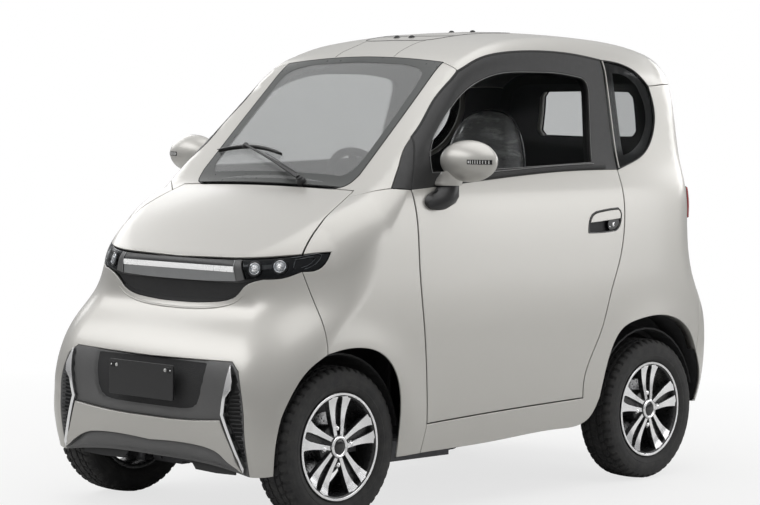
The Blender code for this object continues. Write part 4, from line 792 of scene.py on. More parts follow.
def car_paint():
    """Champagne metallic paint: flakes under a clear coat, with a trace of orange peel."""
    paint = Finish("champagne", (0.52, 0.507, 0.478), 0.40, 0.45, Coat_Weight=0.55, Coat_Roughness=0.14,
                   Coat_IOR=1.5)
    flake = paint.range(paint.cells(2600, output="Color"), 0.0, 1.0, 0.2, 0.9)
    drift = paint.noise(2.5, 3)
    soft = paint.mix(drift, (0.500, 0.488, 0.460), (0.535, 0.522, 0.492))
    paint.tint(paint.maths("MULTIPLY", flake, 0.35), soft, (0.62, 0.607, 0.575))
    paint.vary(paint.noise(420, 2), 0.37, 0.44)
    return paint.bump(paint.noise(260, 2), 0.00005, 0.6).material


def glass_pane(name, tint, amount, reflection_veil=(0.02, 0.022, 0.022)):
    """Thin window glass: what is behind shows through a tint, with a clear reflection on top; `amount` is how
    much of the veil colour hides it, and a pale veil is a painted reflection."""
    pane = Finish(name, reflection_veil, 0.02, 0.0, Coat_Weight=0.0)
    pane.vary(pane.noise(14, 3), 0.008, 0.03)
    through = pane.node("ShaderNodeBsdfTransparent", {"Color": (*tint, 1)})
    slant = pane.node("ShaderNodeLayerWeight").outputs["Facing"]
    share = pane.maths("ADD", pane.maths("POWER", slant, 4.5), amount)
    pane.show(pane.blend(share, through, pane.shader))
    return pane.material


def metal(name, colour, rough, brushed=None):
    """Bright or cast metal; `brushed` is the direction of its fine turning marks."""
    look = Finish(name, colour, rough, 1.0)
    look.tint(look.noise(22, 4), shade(colour, 0.86), shade(colour, 1.08))
    look.vary(look.noise(90, 3), rough * 0.75, rough * 1.35)
    if brushed:
        stretch = {"X": (40, 1, 1), "Y": (1, 40, 1), "Z": (1, 1, 40)}[brushed]
        return look.bump(look.noise(1500, 2, stretch=stretch), 0.00003, 0.5).material
    return look.bump(look.noise(380, 3), 0.00008, 0.5).material


def cloth(name, colour, weave=700, rough=0.9):
    """Woven cover cloth: two crossing sets of threads, a little fuzz, uneven dye, and painted shade between
    the threads, lighter on their tops.
    """
    look = Finish(name, colour, rough, Sheen_Weight=0.25, Sheen_Roughness=0.5)
    warp, weft = look.waves(weave, "X", 0.6), look.waves(weave, "Z", 0.6)
    threads = look.maths("MAXIMUM", warp, weft)
    # the colour follows the threads' height as well as the dye: painted shade in the gaps, lighter on the
    # thread tops
    look.tint(look.maths("MULTIPLY", threads, look.noise(30, 4)), shade(colour, 0.6), shade(colour, 1.9))
    return look.bump(threads, 0.0003, 0.7).material


def leather(name, colour):
    """Grained leatherette: pebbles with creases between them."""
    look = Finish(name, colour, 0.48, Coat_Weight=0.12, Coat_Roughness=0.35)
    pebble = look.cells(330)
    look.tint(look.noise(12, 4), shade(colour, 0.8), shade(colour, 1.35))
    look.vary(pebble, 0.40, 0.60)
    return look.bump(pebble, 0.0005, 0.55).bump(look.noise(60, 4), 0.0006, 0.4).material


def tyre_rubber():
    """Black rubber: matt, with moulding dust over all of it and a fine grain."""
    look = Finish("rubber", (0.022, 0.022, 0.023), 0.78)
    dust = look.noise(26, 5, 0.7)
    look.tint(look.range(dust, 0, 1, 0.35, 0.8), (0.016, 0.016, 0.017), (0.048, 0.047, 0.045))
    look.vary(dust, 0.68, 0.9)
    return look.bump(look.noise(700, 3), 0.0002, 0.6).material


def glowing(name, colour, strength):
    """A lit diffuser: fine prisms over an even glow."""
    look = Finish(name, (0.9, 0.9, 0.9), 0.2, Emission_Color=(*colour, 1), Emission_Strength=strength)
    look.tint(look.noise(120, 2), (0.80, 0.80, 0.80), (0.95, 0.95, 0.95))
    return look.bump(look.waves(300, "X"), 0.0004, 0.5).material


def lamp_lens(name, colour):
    """Coloured moulded lens with fluting and depth."""
    look = Finish(name, colour, 0.05, Coat_Weight=1.0, Coat_Roughness=0.02, IOR=1.55)
    flutes = look.waves(260, "Z", 0.0)
    look.tint(flutes, shade(colour, 0.45), shade(colour, 1.25))
    return look.bump(look.maths("ADD", flutes, look.cells(420)), 0.0005, 0.5).material


def crystal():
    """Cut reflector optics behind a clear cover, with painted glints: each facet lighter or darker at random.
    """
    look = Finish("crystal", (0.85, 0.86, 0.88), 0.06, 0.75, Coat_Weight=1.0, Coat_Roughness=0.01)
    facet_glints = look.cells(190, output="Color")
    # painted glints: each cell of the reflector gets its own brightness
    look.tint(look.range(facet_glints, 0, 1, 0.1, 0.9), (0.30, 0.31, 0.33), (1.0, 1.0, 1.0))
    return look.bump(look.cells(190), 0.002, 0.9).material


def wrapped():
    """A seat cover under thin wrinkled film: a grey cover lightened by painted sheen, which runs up to white
    along the creases.
    """
    film = Finish("wrapped_cover", (0.55, 0.55, 0.555), 0.30, Coat_Weight=0.8, Coat_Roughness=0.10)
    creases = film.noise(17, 7, 0.66, stretch=(1.7, 1.0, 0.45))
    # painted highlights: the colour goes from grey to white with the creases, for light caught on the film
    film.tint(film.range(creases, 0.0, 1.0, 0.50, 0.70), (0.42, 0.42, 0.425), (1.0, 1.0, 1.0))
    film.vary(film.noise(40, 4), 0.18, 0.42)
    return film.bump(creases, 0.016, 0.8).bump(film.noise(60, 5, 0.7), 0.002, 0.6).material


PAINT = car_paint()
CHARCOAL = plastic("charcoal", (0.105, 0.105, 0.106), 0.40)
FRAME_BLACK = plastic("frame_black", (0.010, 0.010, 0.0105), 0.52, grain=1500, depth=0.00006)
FRIT = plastic("frit", (0.050, 0.054, 0.052), 0.30, grain=1800, depth=0.00002)
SATIN = plastic("satin_black", (0.020, 0.020, 0.021), 0.36, grain=1500, depth=0.00006)
MATT = plastic("matt_black", (0.018, 0.018, 0.019), 0.62, grain=800)
GLOSS = plastic("gloss_black", (0.008, 0.008, 0.009), 0.10, grain=300, depth=0.00001, worn=0.05)
TRIM = plastic("trim", (0.040, 0.040, 0.043), 0.66, grain=420, depth=0.0003)
CARPET = cloth("carpet", (0.030, 0.030, 0.032), 420, 0.95)
LINING = cloth("headlining", (0.20, 0.20, 0.20), 600, 0.95)
SEAT = leather("seat_cover", (0.030, 0.030, 0.033))
SEAT_MIDDLE = cloth("seat_middle", (0.055, 0.055, 0.060), 520)
CHROME = metal("chrome", (0.86, 0.86, 0.87), 0.07)
MACHINED = metal("machined", (0.80, 0.80, 0.81), 0.20, "X")
SILVER = metal("lamp_silver", (0.30, 0.305, 0.31), 0.34)
POCKET = plastic("rim_black", (0.020, 0.020, 0.021), 0.28, grain=1200, depth=0.00004)
STEEL = metal("steel", (0.16, 0.16, 0.165), 0.42)
CAST = metal("cast", (0.10, 0.10, 0.105), 0.55)
DISC_STEEL = metal("disc_steel", (0.45, 0.45, 0.46), 0.26, "X")
RUBBER = tyre_rubber()
SEAL = plastic("seal", (0.012, 0.012, 0.012), 0.72, grain=900)
WINDOW = glass_pane("window_glass", (0.86, 0.865, 0.865), 0.015)
# the windscreen's pale grey veil, a third of its look, is a painted reflection of the bright surroundings
WINDSCREEN = glass_pane("windscreen_glass", (0.84, 0.845, 0.845), 0.33, (0.50, 0.505, 0.505))
DARK_WINDOW = glass_pane("dark_glass", (0.80, 0.805, 0.805), 0.015)
COVER = glass_pane("lamp_cover", (0.80, 0.81, 0.82), 0.01)
MIRROR_GLASS = metal("mirror", (0.85, 0.86, 0.87), 0.02)
LED = glowing("led_white", (1.0, 1.0, 1.0), 0.30)
DEEP = plastic("deep_black", (0.012, 0.012, 0.013), 0.22, grain=1500, depth=0.00002)
AMBER = lamp_lens("amber", (0.75, 0.27, 0.02))
RED = lamp_lens("lamp_red", (0.42, 0.008, 0.010))
CRYSTAL = crystal()
WRAP = wrapped()
BATTERY = metal("battery_case", (0.12, 0.12, 0.125), 0.50)
# pale plastic for thin strips that are painted highlights along the window's edges
EDGE_HIGHLIGHT = plastic("edge_highlight", (0.22, 0.22, 0.218), 0.35, grain=1200, depth=0.00003)
LAMP_WHITE = plastic("lamp_white", (0.80, 0.80, 0.79), 0.25, grain=500, depth=0.0001)
WHITE_PLASTIC = plastic("white_plastic", (0.62, 0.62, 0.61), 0.45, grain=700, depth=0.00005)
UNDER = plastic("underseal", (0.022, 0.022, 0.023), 0.82, grain=260, depth=0.0006)
# the slots and the finishes that belong to each
SLOTS = {"champagne": [PAINT], "charcoal": [CHARCOAL], "lamp_red": [RED], "rubber": [RUBBER, SEAL],
         "black": [FRAME_BLACK, FRIT, SATIN, MATT, GLOSS, DEEP, POCKET, UNDER],
         "glass": [WINDOW, WINDSCREEN, DARK_WINDOW, COVER, LED, AMBER, CRYSTAL, LAMP_WHITE],
         "alloy": [CHROME, MACHINED, SILVER, MIRROR_GLASS], "steel": [STEEL, CAST, DISC_STEEL],
         "trim": [TRIM, CARPET, EDGE_HIGHLIGHT, WHITE_PLASTIC], "seat": [SEAT, SEAT_MIDDLE, WRAP]}


def slot_of(finish):
    return next(slot for slot, finishes in SLOTS.items() if finish in finishes)


# ---------------------------------------------------------------- body panels
def painted(name, chart, outline, thick, body, replaces, back=None, both=False, **more):
    """A painted panel, its back in another finish."""
    finish = more.pop("finish", PAINT)
    solid = fine_panel(chart, outline, thick, **more)
    place = on_both if both else made
    pieces = place(name, solid, [finish, back or UNDER], body, replaces)
    top = sum(1 for face in solid[1] if len(face) == 3) // 2
    for piece in (pieces if both else [pieces]):
        kinds = np.zeros(len(solid[1]), np.int32)
        kinds[top:2 * top] = 1
        piece.data.polygons.foreach_set("material_index", kinds)
    return pieces


LEFT_SIDE = Chart((0.0, 0.10, 0.75), (1, 0, 0))
NOSE_CHART = Chart((0, -0.65, 0.50), (0, -1, 0))
TAIL_CHART = Chart((0, 0.70, 0.80), (0, 1, 0))


def body_panels():
    bumper = both_sides(("-recess_foot", SNUG), ("-lamp_foot", CLOSE), ("-nose_fender", FIXED),
                        ("nose_arch", 0.0), ("nose_foot", 0.0), ("-insert_side", SNUG),
                        ("-insert_corner", SNUG), ("-insert_top", SNUG))
    painted("bumper_skin", NOSE_CHART, bumper, 0.009, "car", "front_bumper")
    fender = outline_of(("pillar_foot", FIXED), ("triangle_foot", FIXED), ("door_front", SHUT),
                        ("sill_front", FIXED), ("fender_foot", 0.0), ("front_arch", 0.0),
                        ("nose_fender", FIXED), ("lamp_tip", CLOSE), ("lamp_roof", CLOSE),
                        ("-bonnet_fender", SHUT))
    painted("fender_skin", Chart((0.05, -0.72, 0.60), (1.0, -0.25, 0.25)), fender, 0.006, "car",
            "front_fender_SIDE", both=True)
    pillar = outline_of(("bonnet_corner", SHUT), ("bonnet_pillar", SHUT), ("pillar_foot", FIXED),
                        ("triangle_front", CLOSE), ("frame_pillar", SHUT), ("pillar_roof", FIXED),
                        ("-screen_side", EASY), ("-screen_corner", EASY))
    painted("pillar_skin", Chart((0.10, -0.30, 0.95), (1.0, -0.45, 0.8)), pillar, 0.026, "car",
            "windscreen_pillar_SIDE", back=TRIM, both=True)
    triangle = outline_of(("triangle_foot", CLOSE), ("frame_front", SHUT), ("-triangle_front", CLOSE))
    painted("corner_trim", LEFT_SIDE, triangle, 0.010, "car", "door_corner_trim_SIDE", both=True,
            finish=FRAME_BLACK)
    roof = both_sides(("-screen_top", EASY), ("-pillar_roof", FIXED), ("frame_roof", SHUT),
                      ("quarter_roof", EASY), ("roof_tail", FIXED), ("hatch_roof", 0.008))
    painted("roof_skin", Chart((0, 0.45, 1.05), (0, 0, 1)), roof, ROOF, "car", "roof", back=LINING)
    bonnet = both_sides(("bonnet_back", 0.010), ("bonnet_corner", SHUT), ("bonnet_pillar", SHUT),
                        ("bonnet_fender", SHUT), ("bonnet_nose", EASY))
    painted("bonnet_skin", Chart((0, -0.70, 0.55), (0, -0.5, 0.85)), bonnet, 0.016, "bonnet_lid", "bonnet")
    side = outline_of(("sill_foot", 0.0), ("rear_arch", 0.0), ("tail_quarter", FIXED), ("tail_corner", FIXED),
                      ("hatch_quarter", SHUT), ("-roof_tail", FIXED), ("quarter_back", EASY),
                      ("-door_back", SHUT), ("-door_foot", SHUT), ("sill_front", FIXED))
    painted("side_skin", LEFT_SIDE, side, WALL - 0.010, "car", "body_side_SIDE", back=TRIM, both=True)
    door = outline_of(("-door_front", SHUT), ("-belt", 0.0), ("-door_back", SHUT), ("-door_foot", SHUT))
    painted("door_skin", LEFT_SIDE, door, 0.007, "SIDE_door", "door_SIDE", both=True, holes=[HANDLE])
    hatch = both_sides(("-hatch_roof", 0.008), ("-hatch_quarter", SHUT), ("hatch_foot", SHUT))
    painted("hatch_skin", TAIL_CHART, hatch, HATCH - 0.006, "tailgate_lid", "tailgate", back=TRIM,
            holes=[REAR_WINDOW])
    tail = both_sides(("-hatch_foot", SHUT), ("-tail_corner", FIXED), ("-tail_quarter", FIXED),
                      ("tail_arch", 0.0), ("tail_foot", 0.0), ("tail_foot_middle", 0.0))
    painted("tail_skin", TAIL_CHART, tail, 0.009, "car", "rear_bumper")


def glazing():
    screen = both_sides(("bonnet_back", 0.024), ("screen_corner", EASY), ("screen_side", EASY),
                        ("screen_top", EASY))
    chart = Chart((0, -0.10, 0.90), (0, -0.7, 0.7))
    made("windscreen_pane", fine_panel(chart, screen, 0.0045, spacing=0.03, hem=0.001), WINDSCREEN, "car",
         "windscreen")
    view = drawn(on_top, [(0.000, -0.556), (0.260, -0.556)],
                 [(0.310, -0.550), (0.335, -0.510), (0.338, -0.470)], [(0.337, -0.350), (0.331, -0.235)],
                 [(0.322, -0.205), (0.285, -0.187), (0.180, -0.179), (0.000, -0.176)], across=True)
    made("windscreen_border", fine_panel(chart, screen, 0.0008, holes=[view], depth=-0.0005, spacing=0.02,
                                         hem=0.0003), FRIT, "car")
    quarter = outline_of(("quarter_roof", EASY), ("quarter_back", EASY), ("frame_back", 0.010))
    on_both("quarter_pane", fine_panel(LEFT_SIDE, quarter, 0.0045, depth=0.001, spacing=0.03, hem=0.001),
            DARK_WINDOW, "car", "quarter_glass_SIDE")
    opening = drawn(on_side, [(0.652, 1.448), (0.720, 1.440), (0.786, 1.405)],
                    [(0.822, 1.330), (0.812, 1.265), (0.765, 1.205)], [(0.700, 1.170), (0.652, 1.158)], [])
    on_both("quarter_border", fine_panel(LEFT_SIDE, quarter, 0.0012, holes=[opening], depth=0.0060,
                                         spacing=0.03, hem=0.0004), GLOSS, "car")
    pane = (REAR_WINDOW[0], np.full(len(REAR_WINDOW[0]), 0.002))
    made("tailgate_pane", fine_panel(TAIL_CHART, pane, 0.0045, depth=0.003, spacing=0.03, hem=0.001),
         DARK_WINDOW, "tailgate_lid", "tailgate_glass")
    frame_outline = outline_of(("frame_front", SHUT), ("frame_pillar", 0.011), ("frame_roof", 0.011),
                               ("-frame_back", 0.006), ("belt", 0.0))
    painted("window_frame_skin", LEFT_SIDE, frame_outline, WALL - 0.010, "SIDE_door", "window_frame_SIDE",
            back=TRIM, both=True, finish=FRAME_BLACK, holes=[DOOR_WINDOW], spacing=0.015)
    pane = (DOOR_WINDOW[0], np.full(len(DOOR_WINDOW[0]), -0.004))
    on_both("door_pane", fine_panel(LEFT_SIDE, pane, 0.0045, depth=0.014, spacing=0.03, hem=0.001), WINDOW,
            "SIDE_door", "door_glass_SIDE")


REAR_WINDOW = drawn(on_tail, [(0.000, 1.395), (0.205, 1.392)], [(0.225, 1.370)], [(0.240, 1.240)],
                    [(0.220, 1.218)], [(0.000, 1.214)], across=True)
DOOR_WINDOW = drawn(on_side, [(-0.380, 1.098), (-0.365, 1.172), (-0.301, 1.253), (-0.185, 1.352),
                              (-0.076, 1.404), (0.030, 1.430), (0.188, 1.439), (0.349, 1.438),
                              (0.448, 1.4280)], [(0.480, 1.418), (0.493, 1.400), (0.496, 1.370)],
                    [(0.484, 1.278), (0.459, 1.130)], [(0.040, 1.112)])


# ---------------------------------------------------------------- nose and lamps
def flank(rows):
    """Rows of (x, height) with their mirror images, as one closed polygon."""
    rows = np.array(rows, float)
    return np.concatenate([rows, rows[::-1] * [-1, 1]])


def eased(value):
    """Smooth step from 0 to 1."""
    value = np.clip(value, 0, 1)
    return value * value * (3 - 2 * value)


def sunk_in(polygon, deep, ramp):
    """A lift that lowers the skin inside a polygon, over a ramp from its edge."""
    def lift(points):
        flat = points[:, (0, 2)]
        return -deep * eased(distance_to(flat, polygon) / ramp) * is_inside(flat, polygon)
    return lift


def strip(line, wide, tall, raised=0.0, sides=8, scale=None):
    """A slim rounded strip laid on the skin along a line."""
    normal = skin_normal(line)
    along = np.gradient(line, axis=0)
    along /= np.maximum(np.linalg.norm(along, axis=1, keepdims=True), 1e-9)
    across = np.cross(normal, along)
    scale = np.ones(len(line)) if scale is None else scale
    turn = (turns(sides) + math.pi / sides)[:, None]
    return lofted([point + up * raised + k * (np.cos(turn) * side * wide / 2 - np.sin(turn) * up * tall / 2)
                   for point, side, up, k in zip(line, across, normal, scale)])


def bumper_insert():
    """The dark insert with its recess for the plate and its grilles sunk at both ends."""
    outline = both_sides(("insert_top", SNUG), ("insert_corner", SNUG), ("insert_side", SNUG),
                         ("insert_foot", 0.0))
    recess = flank([(0, 0.520), (0.266, 0.520), (0.260, 0.455), (0.248, 0.400), (0.232, 0.372),
                    (0.205, 0.356), (0.150, 0.350), (0, 0.350)])
    middle = sunk_in(recess, 0.017, 0.016)
    grilles = [np.array([(0.372, 0.500), (0.350, 0.358), (0.424, 0.190), (0.434, 0.180), (0.434, 0.330),
                         (0.424, 0.425), (0.400, 0.490)]) * [side, 1] for side in (1, -1)]
    ends = [sunk_in(grille, 0.010, 0.006) for grille in grilles]
    painted("insert_skin", NOSE_CHART, outline, 0.009, "car", "bumper_insert", finish=CHARCOAL, back=UNDER,
            spacing=0.010, lift=lambda p: middle(p) + ends[0](p) + ends[1](p))


def bumper_lip():
    """The painted lip and the flaps behind its foot."""
    lip = drawn(on_nose, [(0.000, 0.326), (0.197, 0.329), (0.343, 0.341)], [(0.420, 0.184)],
                [(0.382, 0.207), (0.313, 0.241), (0.239, 0.253), (0.000, 0.250)], across=True)
    painted("lip_skin", NOSE_CHART, lip, 0.012, "car", "bumper_lip", depth=-0.013, hem=0.0028,
            lift=lambda p: 0.007 * np.exp(-((p[:, 2] - 0.219) / 0.017) ** 2))
    for side, word in ((1, "left"), (-1, "right")):
        rows = []
        for x, low in ((0.150, 0.190), (0.172, 0.166), (0.270, 0.164), (0.360, 0.168)):
            y = spot(on_nose, x, 0.215)[0][1] + 0.020
            rows.append(np.array([(side * x, y, low), (side * x, y + 0.005, low),
                                  (side * x, y + 0.008, 0.205), (side * x, y + 0.002, 0.205)]))
        made(f"undertray_{word}", lofted(rows if side > 0 else [row[::-1] for row in rows]), MATT, "car")


def grilles():
    """The side grilles: a bright chevron and the dark ribs behind it."""
    chevron = cornered(on_nose, (0.373, 0.508), (0.364, 0.440), (0.346, 0.358), (0.423, 0.182),
                       (0.428, 0.200), (0.360, 0.358), (0.371, 0.412), (0.392, 0.436), (0.393, 0.462))
    on_both("chevron", fine_panel(NOSE_CHART, chevron, 0.014, depth=-0.011, spacing=0.012, hem=0.0016),
            CHROME, "car")
    ribs = []
    edge = np.array([(0.190, 0.434), (0.250, 0.412), (0.358, 0.368), (0.418, 0.386), (0.438, 0.408),
                     (0.474, 0.412)])
    side = np.array([(0.170, 0.430), (0.240, 0.432), (0.320, 0.431), (0.423, 0.421), (0.494, 0.396)])
    for number in range(22):
        height = 0.206 + 0.0125 * number
        start, end = np.interp(height, *edge.T), np.interp(height, *side.T)
        if end - start > 0.006:
            line = seat_on_skin(on_nose((start, height), (end, height + 0.003)))
            ribs.append(strip(line, 0.0050, 0.0070, -0.005, 6))
    on_both("grille_ribs", merged(*ribs), MATT, "car")


def lip_bar():
    """The dark bar under the lip."""
    steps = np.linspace(0, 1, 28)

    def evenly(line):
        length = np.linspace(0, 1, len(line))
        return np.stack([np.interp(steps, length, column) for column in line.T], axis=1)

    upper = on_nose((0.000, 0.247), (0.239, 0.250), (0.313, 0.238), (0.382, 0.204), (0.418, 0.182))
    upper = evenly(upper)
    foot = on_nose((0.000, 0.194), (0.230, 0.194), (0.330, 0.188), (0.400, 0.179), (0.424, 0.176))
    foot = evenly(foot)
    points = []
    for share in np.linspace(0, 1, 9):
        line = seat_on_skin(upper + (foot - upper) * share)
        bulge = 0.013 * math.sin(math.pi * min(1, 0.12 + share)) ** 0.7
        taper = np.clip((1 - steps) / 0.25, 0.15, 1)[:, None]
        points.append(line + skin_normal(line) * (bulge * taper))
    front = np.array(points)
    bar = shell_of(front, np.array([seat_on_skin(row) - skin_normal(row) * 0.004 for row in front]))
    on_both("lip_bar", bar, CHARCOAL, "car")


def front_plate():
    """The blank plate with its studs, black squares painted as the shade of its square holes, and screws."""
    height = 0.4775
    made("plate_skin", number_plate(), SATIN, "car", "number_plate", bevel=0.0012)
    for side, word in ((1, "left"), (-1, "right")):
        stud = disc_of((side * 0.1155, NOSE + 0.0005, height), (0, -1, 0), 0.0058, 0.0030)
        made(f"plate_stud_{word}", stud, WHITE_PLASTIC, "car")
        # black squares on the plate: painted shade of its square holes
        square = shifted(turned_block(0.019, 0.0185, 0.0016), (side * 0.1330, NOSE + 0.0010, height))
        made(f"plate_hole_shade_{word}", square, GLOSS, "car", bevel=0.0008)
        screw = disc_of((side * 0.1400, NOSE - 0.0002, height), (0, -1, 0), 0.0026, 0.0018)
        made(f"plate_screw_{word}", screw, CHROME, "car", slot="steel")


def shell_of(front, back):
    """A closed solid from two grids of points, the second behind the first."""
    rows, columns = front.shape[:2]
    count = rows * columns
    index = np.arange(count).reshape(rows, columns)
    faces = []
    for a, b, c, d in zip(index[:-1, :-1].flat, index[:-1, 1:].flat, index[1:, 1:].flat, index[1:, :-1].flat):
        faces += [(a, d, c, b), (a + count, b + count, c + count, d + count)]
    rim = [*index[0], *index[1:, -1], *index[-1, -2::-1], *index[-2:0:-1, 0]]
    faces += [(a, b, b + count, a + count) for a, b in zip(rim, rim[1:] + rim[:1])]
    return np.concatenate([front.reshape(-1, 3), back.reshape(-1, 3)]), faces


def shifted(solid, by):
    return (np.asarray(solid[0]) + np.array(by), *solid[1:])


def turned_block(wide, tall, thick, radius=0.002):
    """A rounded rectangle facing the front, its middle at the origin."""
    return extruded(rounded(wide, tall, radius), thick)


def extruded(rows, thick, axis=1):
    """A flat outline of (x, height) rows given a thickness along Y (or X, for rows of (y, height))."""
    rows = np.array(rows, float)
    count = len(rows)
    points = np.zeros((2 * count, 3))
    others = [k for k in range(3) if k != axis]
    points[:count, others] = points[count:, others] = rows
    points[:count, axis], points[count:, axis] = -thick / 2, thick / 2
    faces = [tuple(range(count)), tuple(range(count, 2 * count))[::-1]]
    faces += [(i, i + count, (i + 1) % count + count, (i + 1) % count) for i in range(count)]
    if axis == 0:
        faces = [face[::-1] for face in faces]
    return points, faces


def number_plate():
    face = shifted(turned_block(0.304, 0.111, 0.006, 0.005), (0, NOSE + 0.004, 0.4395))
    backing = shifted(turned_block(0.290, 0.097, 0.006, 0.004), (0, NOSE + 0.009, 0.4395))
    bracket = shifted(turned_block(0.200, 0.050, 0.032, 0.004), (0, NOSE + 0.024, 0.425))
    return merged(face, backing, bracket)


def lamp_recess():
    """The gloss base of the lamp unit and the hollow under the bar."""
    base = both_sides(("-bonnet_nose", EASY), ("-lamp_roof", CLOSE), ("-lamp_tip", CLOSE),
                      ("lamp_foot", CLOSE), ("recess_top", 0.0))
    painted("lamp_base", NOSE_CHART, base, 0.035, "car", "headlamp_unit", finish=GLOSS, depth=0.007,
            spacing=0.012)
    recess = both_sides(("-recess_top", -0.004), ("recess_foot", SNUG))
    top = np.array([(0.0, 0.748), (0.180, 0.748), (0.300, 0.753), (0.370, 0.768)])
    foot = np.array([(0.0, 0.681), (0.080, 0.682), (0.160, 0.687), (0.225, 0.696), (0.270, 0.715),
                     (0.300, 0.742), (0.330, 0.757), (0.370, 0.768)])

    def hollow(points):
        across = np.abs(points[:, 0])
        high, low = np.interp(across, *top.T), np.interp(across, *foot.T)
        share = np.clip((points[:, 2] - low) / np.maximum(high - low, 0.004), 0, 1)
        return -0.030 * eased(share / 0.75) * np.clip((high - low) / 0.03, 0, 1)
    painted("lamp_recess", NOSE_CHART, recess, 0.006, "car", (), finish=DEEP, depth=0.004, spacing=0.009,
            lift=hollow)


def recess_brow():
    """The rolled edge of the bumper under the recess."""
    near = on_nose((0.000, 0.6625), (0.080, 0.6640), (0.165, 0.6700), (0.225, 0.6800), (0.270, 0.6960),
                   (0.296, 0.7150))
    brow = np.concatenate([near[::-1] * [-1, 1, 1], near[1:]])
    made("recess_brow", strip(brow, 0.0085, 0.0055, 0.0004,
                              scale=np.interp(np.abs(brow[:, 0]), [0.0, 0.20, 0.295], [1.0, 1.0, 0.25])),
         PAINT, "car", smooth=60)


def lamp_bar():
    """The bright bar, its dark top, the lit segments and the post at its end."""
    bar = drawn(on_nose, [(0.000, 0.8225), (0.120, 0.8225), (0.256, 0.8245)], [(0.266, 0.757)],
                [(0.130, 0.752), (0.000, 0.751)], across=True)
    painted("lamp_bar", NOSE_CHART, bar, 0.008, "car", (), finish=SILVER, depth=0.001, hem=0.0015,
            spacing=0.010, back=MATT, lift=lambda p: -0.004 * eased(1 - np.abs(p[:, 2] - 0.7945) / 0.014))
    upper = drawn(on_nose, [(0.000, 0.8218), (0.120, 0.8218), (0.2550, 0.8238)], [(0.2575, 0.8056)],
                  [(0.120, 0.8048), (0.000, 0.8048)], across=True)
    painted("lamp_bar_top", NOSE_CHART, upper, 0.003, "car", (), finish=SATIN, depth=0.0002, hem=0.0008,
            spacing=0.008)
    lit = [-0.262, -0.240, -0.216, -0.188, -0.143, 0.143, 0.172, 0.202, 0.230, 0.262]
    strips = []
    for start, end in zip(lit[:-1], lit[1:]):
        piece = cornered(on_nose, (start + 0.0019, 0.803), (end - 0.0019, 0.803), (end - 0.0019, 0.7855),
                         (start + 0.0019, 0.7855))
        strips.append(fine_panel(NOSE_CHART, piece, 0.004, depth=-0.0005, spacing=0.012, hem=0.0007)[:2])
    made("lamp_strip", merged(*strips), LED, "car")
    post = cornered(on_nose, (0.258, 0.8245), (0.282, 0.826), (0.303, 0.764), (0.268, 0.757))
    on_both("lamp_post", fine_panel(NOSE_CHART, post, 0.008, depth=0.000, spacing=0.010, hem=0.0015),
            CHARCOAL, "car")
    rib = on_nose((0.2585, 0.822), (0.268, 0.759))
    on_both("lamp_post_edge", strip(rib, 0.0025, 0.0025, 0.0005), SILVER, "car")


def lamp_units():
    """The two lamps on each side, their housing lines and the clear cover."""
    for number, (across, height, radius) in enumerate([(0.336, 0.8005, 0.0165), (0.4085, 0.8100, 0.0172)]):
        seat, normal = spot(on_nose, across, height)
        lens = disc_of(seat - normal * 0.0055, normal, radius, 0.006, rings=7, sides=36)
        on_both(f"lamp_lens_{number}", lens, CRYSTAL, "car")
        ring = ring_about(seat - normal * 0.004, normal, radius + 0.0012, 0.0018)
        on_both(f"lamp_ring_{number}", ring, CHROME, "car")
        housing = ring_about(seat - normal * 0.0055, normal, radius + 0.0060, 0.0030)
        on_both(f"lamp_housing_{number}", housing, SATIN, "car")
    link = cornered(on_nose, (0.356, 0.812), (0.388, 0.817), (0.388, 0.803), (0.356, 0.797))
    on_both("lamp_link", fine_panel(NOSE_CHART, link, 0.004, depth=0.004, spacing=0.01, hem=0.001), CHARCOAL,
            "car")
    marks = [(0.0022, (0.428, 0.838), (0.462, 0.8455), (0.494, 0.8485), (0.4935, 0.830), (0.486, 0.814),
              (0.470, 0.803)), (0.0016, (0.440, 0.832), (0.464, 0.838), (0.484, 0.840), (0.483, 0.827),
                                (0.476, 0.816), (0.462, 0.8075)), (0.0020, (0.4425, 0.829), (0.4445, 0.806))]
    for number, (wide, *rows) in enumerate(marks):
        on_both(f"lamp_line_{number}", strip(on_nose(*rows), wide, wide, -0.0035), SILVER, "car")
    cover = outline_of((on_nose((0.284, 0.8260), (0.357, 0.8315), (0.440, 0.8420), (0.4585, 0.8470)), 0.0),
                       ("-lamp_roof", 0.004), ("-lamp_tip", 0.004),
                       (on_nose((SEAMS["lamp_foot"][0][0], SEAMS["lamp_foot"][0][2]), (0.430, 0.779),
                                (0.370, 0.771), (0.305, 0.764)), 0.0),
                       (on_nose((0.305, 0.764), (0.284, 0.826)), 0.0))
    on_both("lamp_cover", fine_panel(NOSE_CHART, cover, 0.0015, depth=-0.0002, spacing=0.012, hem=0.0006),
            COVER, "car")


# ---------------------------------------------------------------- wheels
LIP = TYRE_WIDTH / 2 - 0.0065   # how far the rim's lip and the tyre's bead lie from the wheel's middle
BEAD = TYRE_WIDTH / 2 - 0.0155
WHEEL_MIDDLE = (WHEEL_X, 0, TYRE_RADIUS)


def second_finish(piece, chosen):
    """Gives a piece's second finish to the faces that `chosen` picks from their centres and normals."""
    mesh = piece.data
    count = len(mesh.polygons)
    centres, normals = np.empty(3 * count), np.empty(3 * count)
    mesh.polygons.foreach_get("center", centres)
    mesh.polygons.foreach_get("normal", normals)
    picked = chosen(centres.reshape(-1, 3) - np.array(HOME), normals.reshape(-1, 3))
    mesh.polygons.foreach_set("material_index", picked.astype(np.int32))


def on_wheels(name, solid, finish, replaces="", chosen=None, **more):
    """A piece made for the left side at the middle of the wheelbase, put on all four wheels."""
    for end, y in (("front", FRONT), ("rear", REAR)):
        for side, one in (("left", solid), ("right", mirrored(solid))):
            nodes = [replaces.replace("END", end).replace("SIDE", side)] if replaces else []
            piece = made(f"{end}_{side}_{name}", shifted(one, (0, y, 0)), finish, f"{end}_{side}_wheel",
                         nodes, **more)
            if chosen:
                second_finish(piece, chosen)


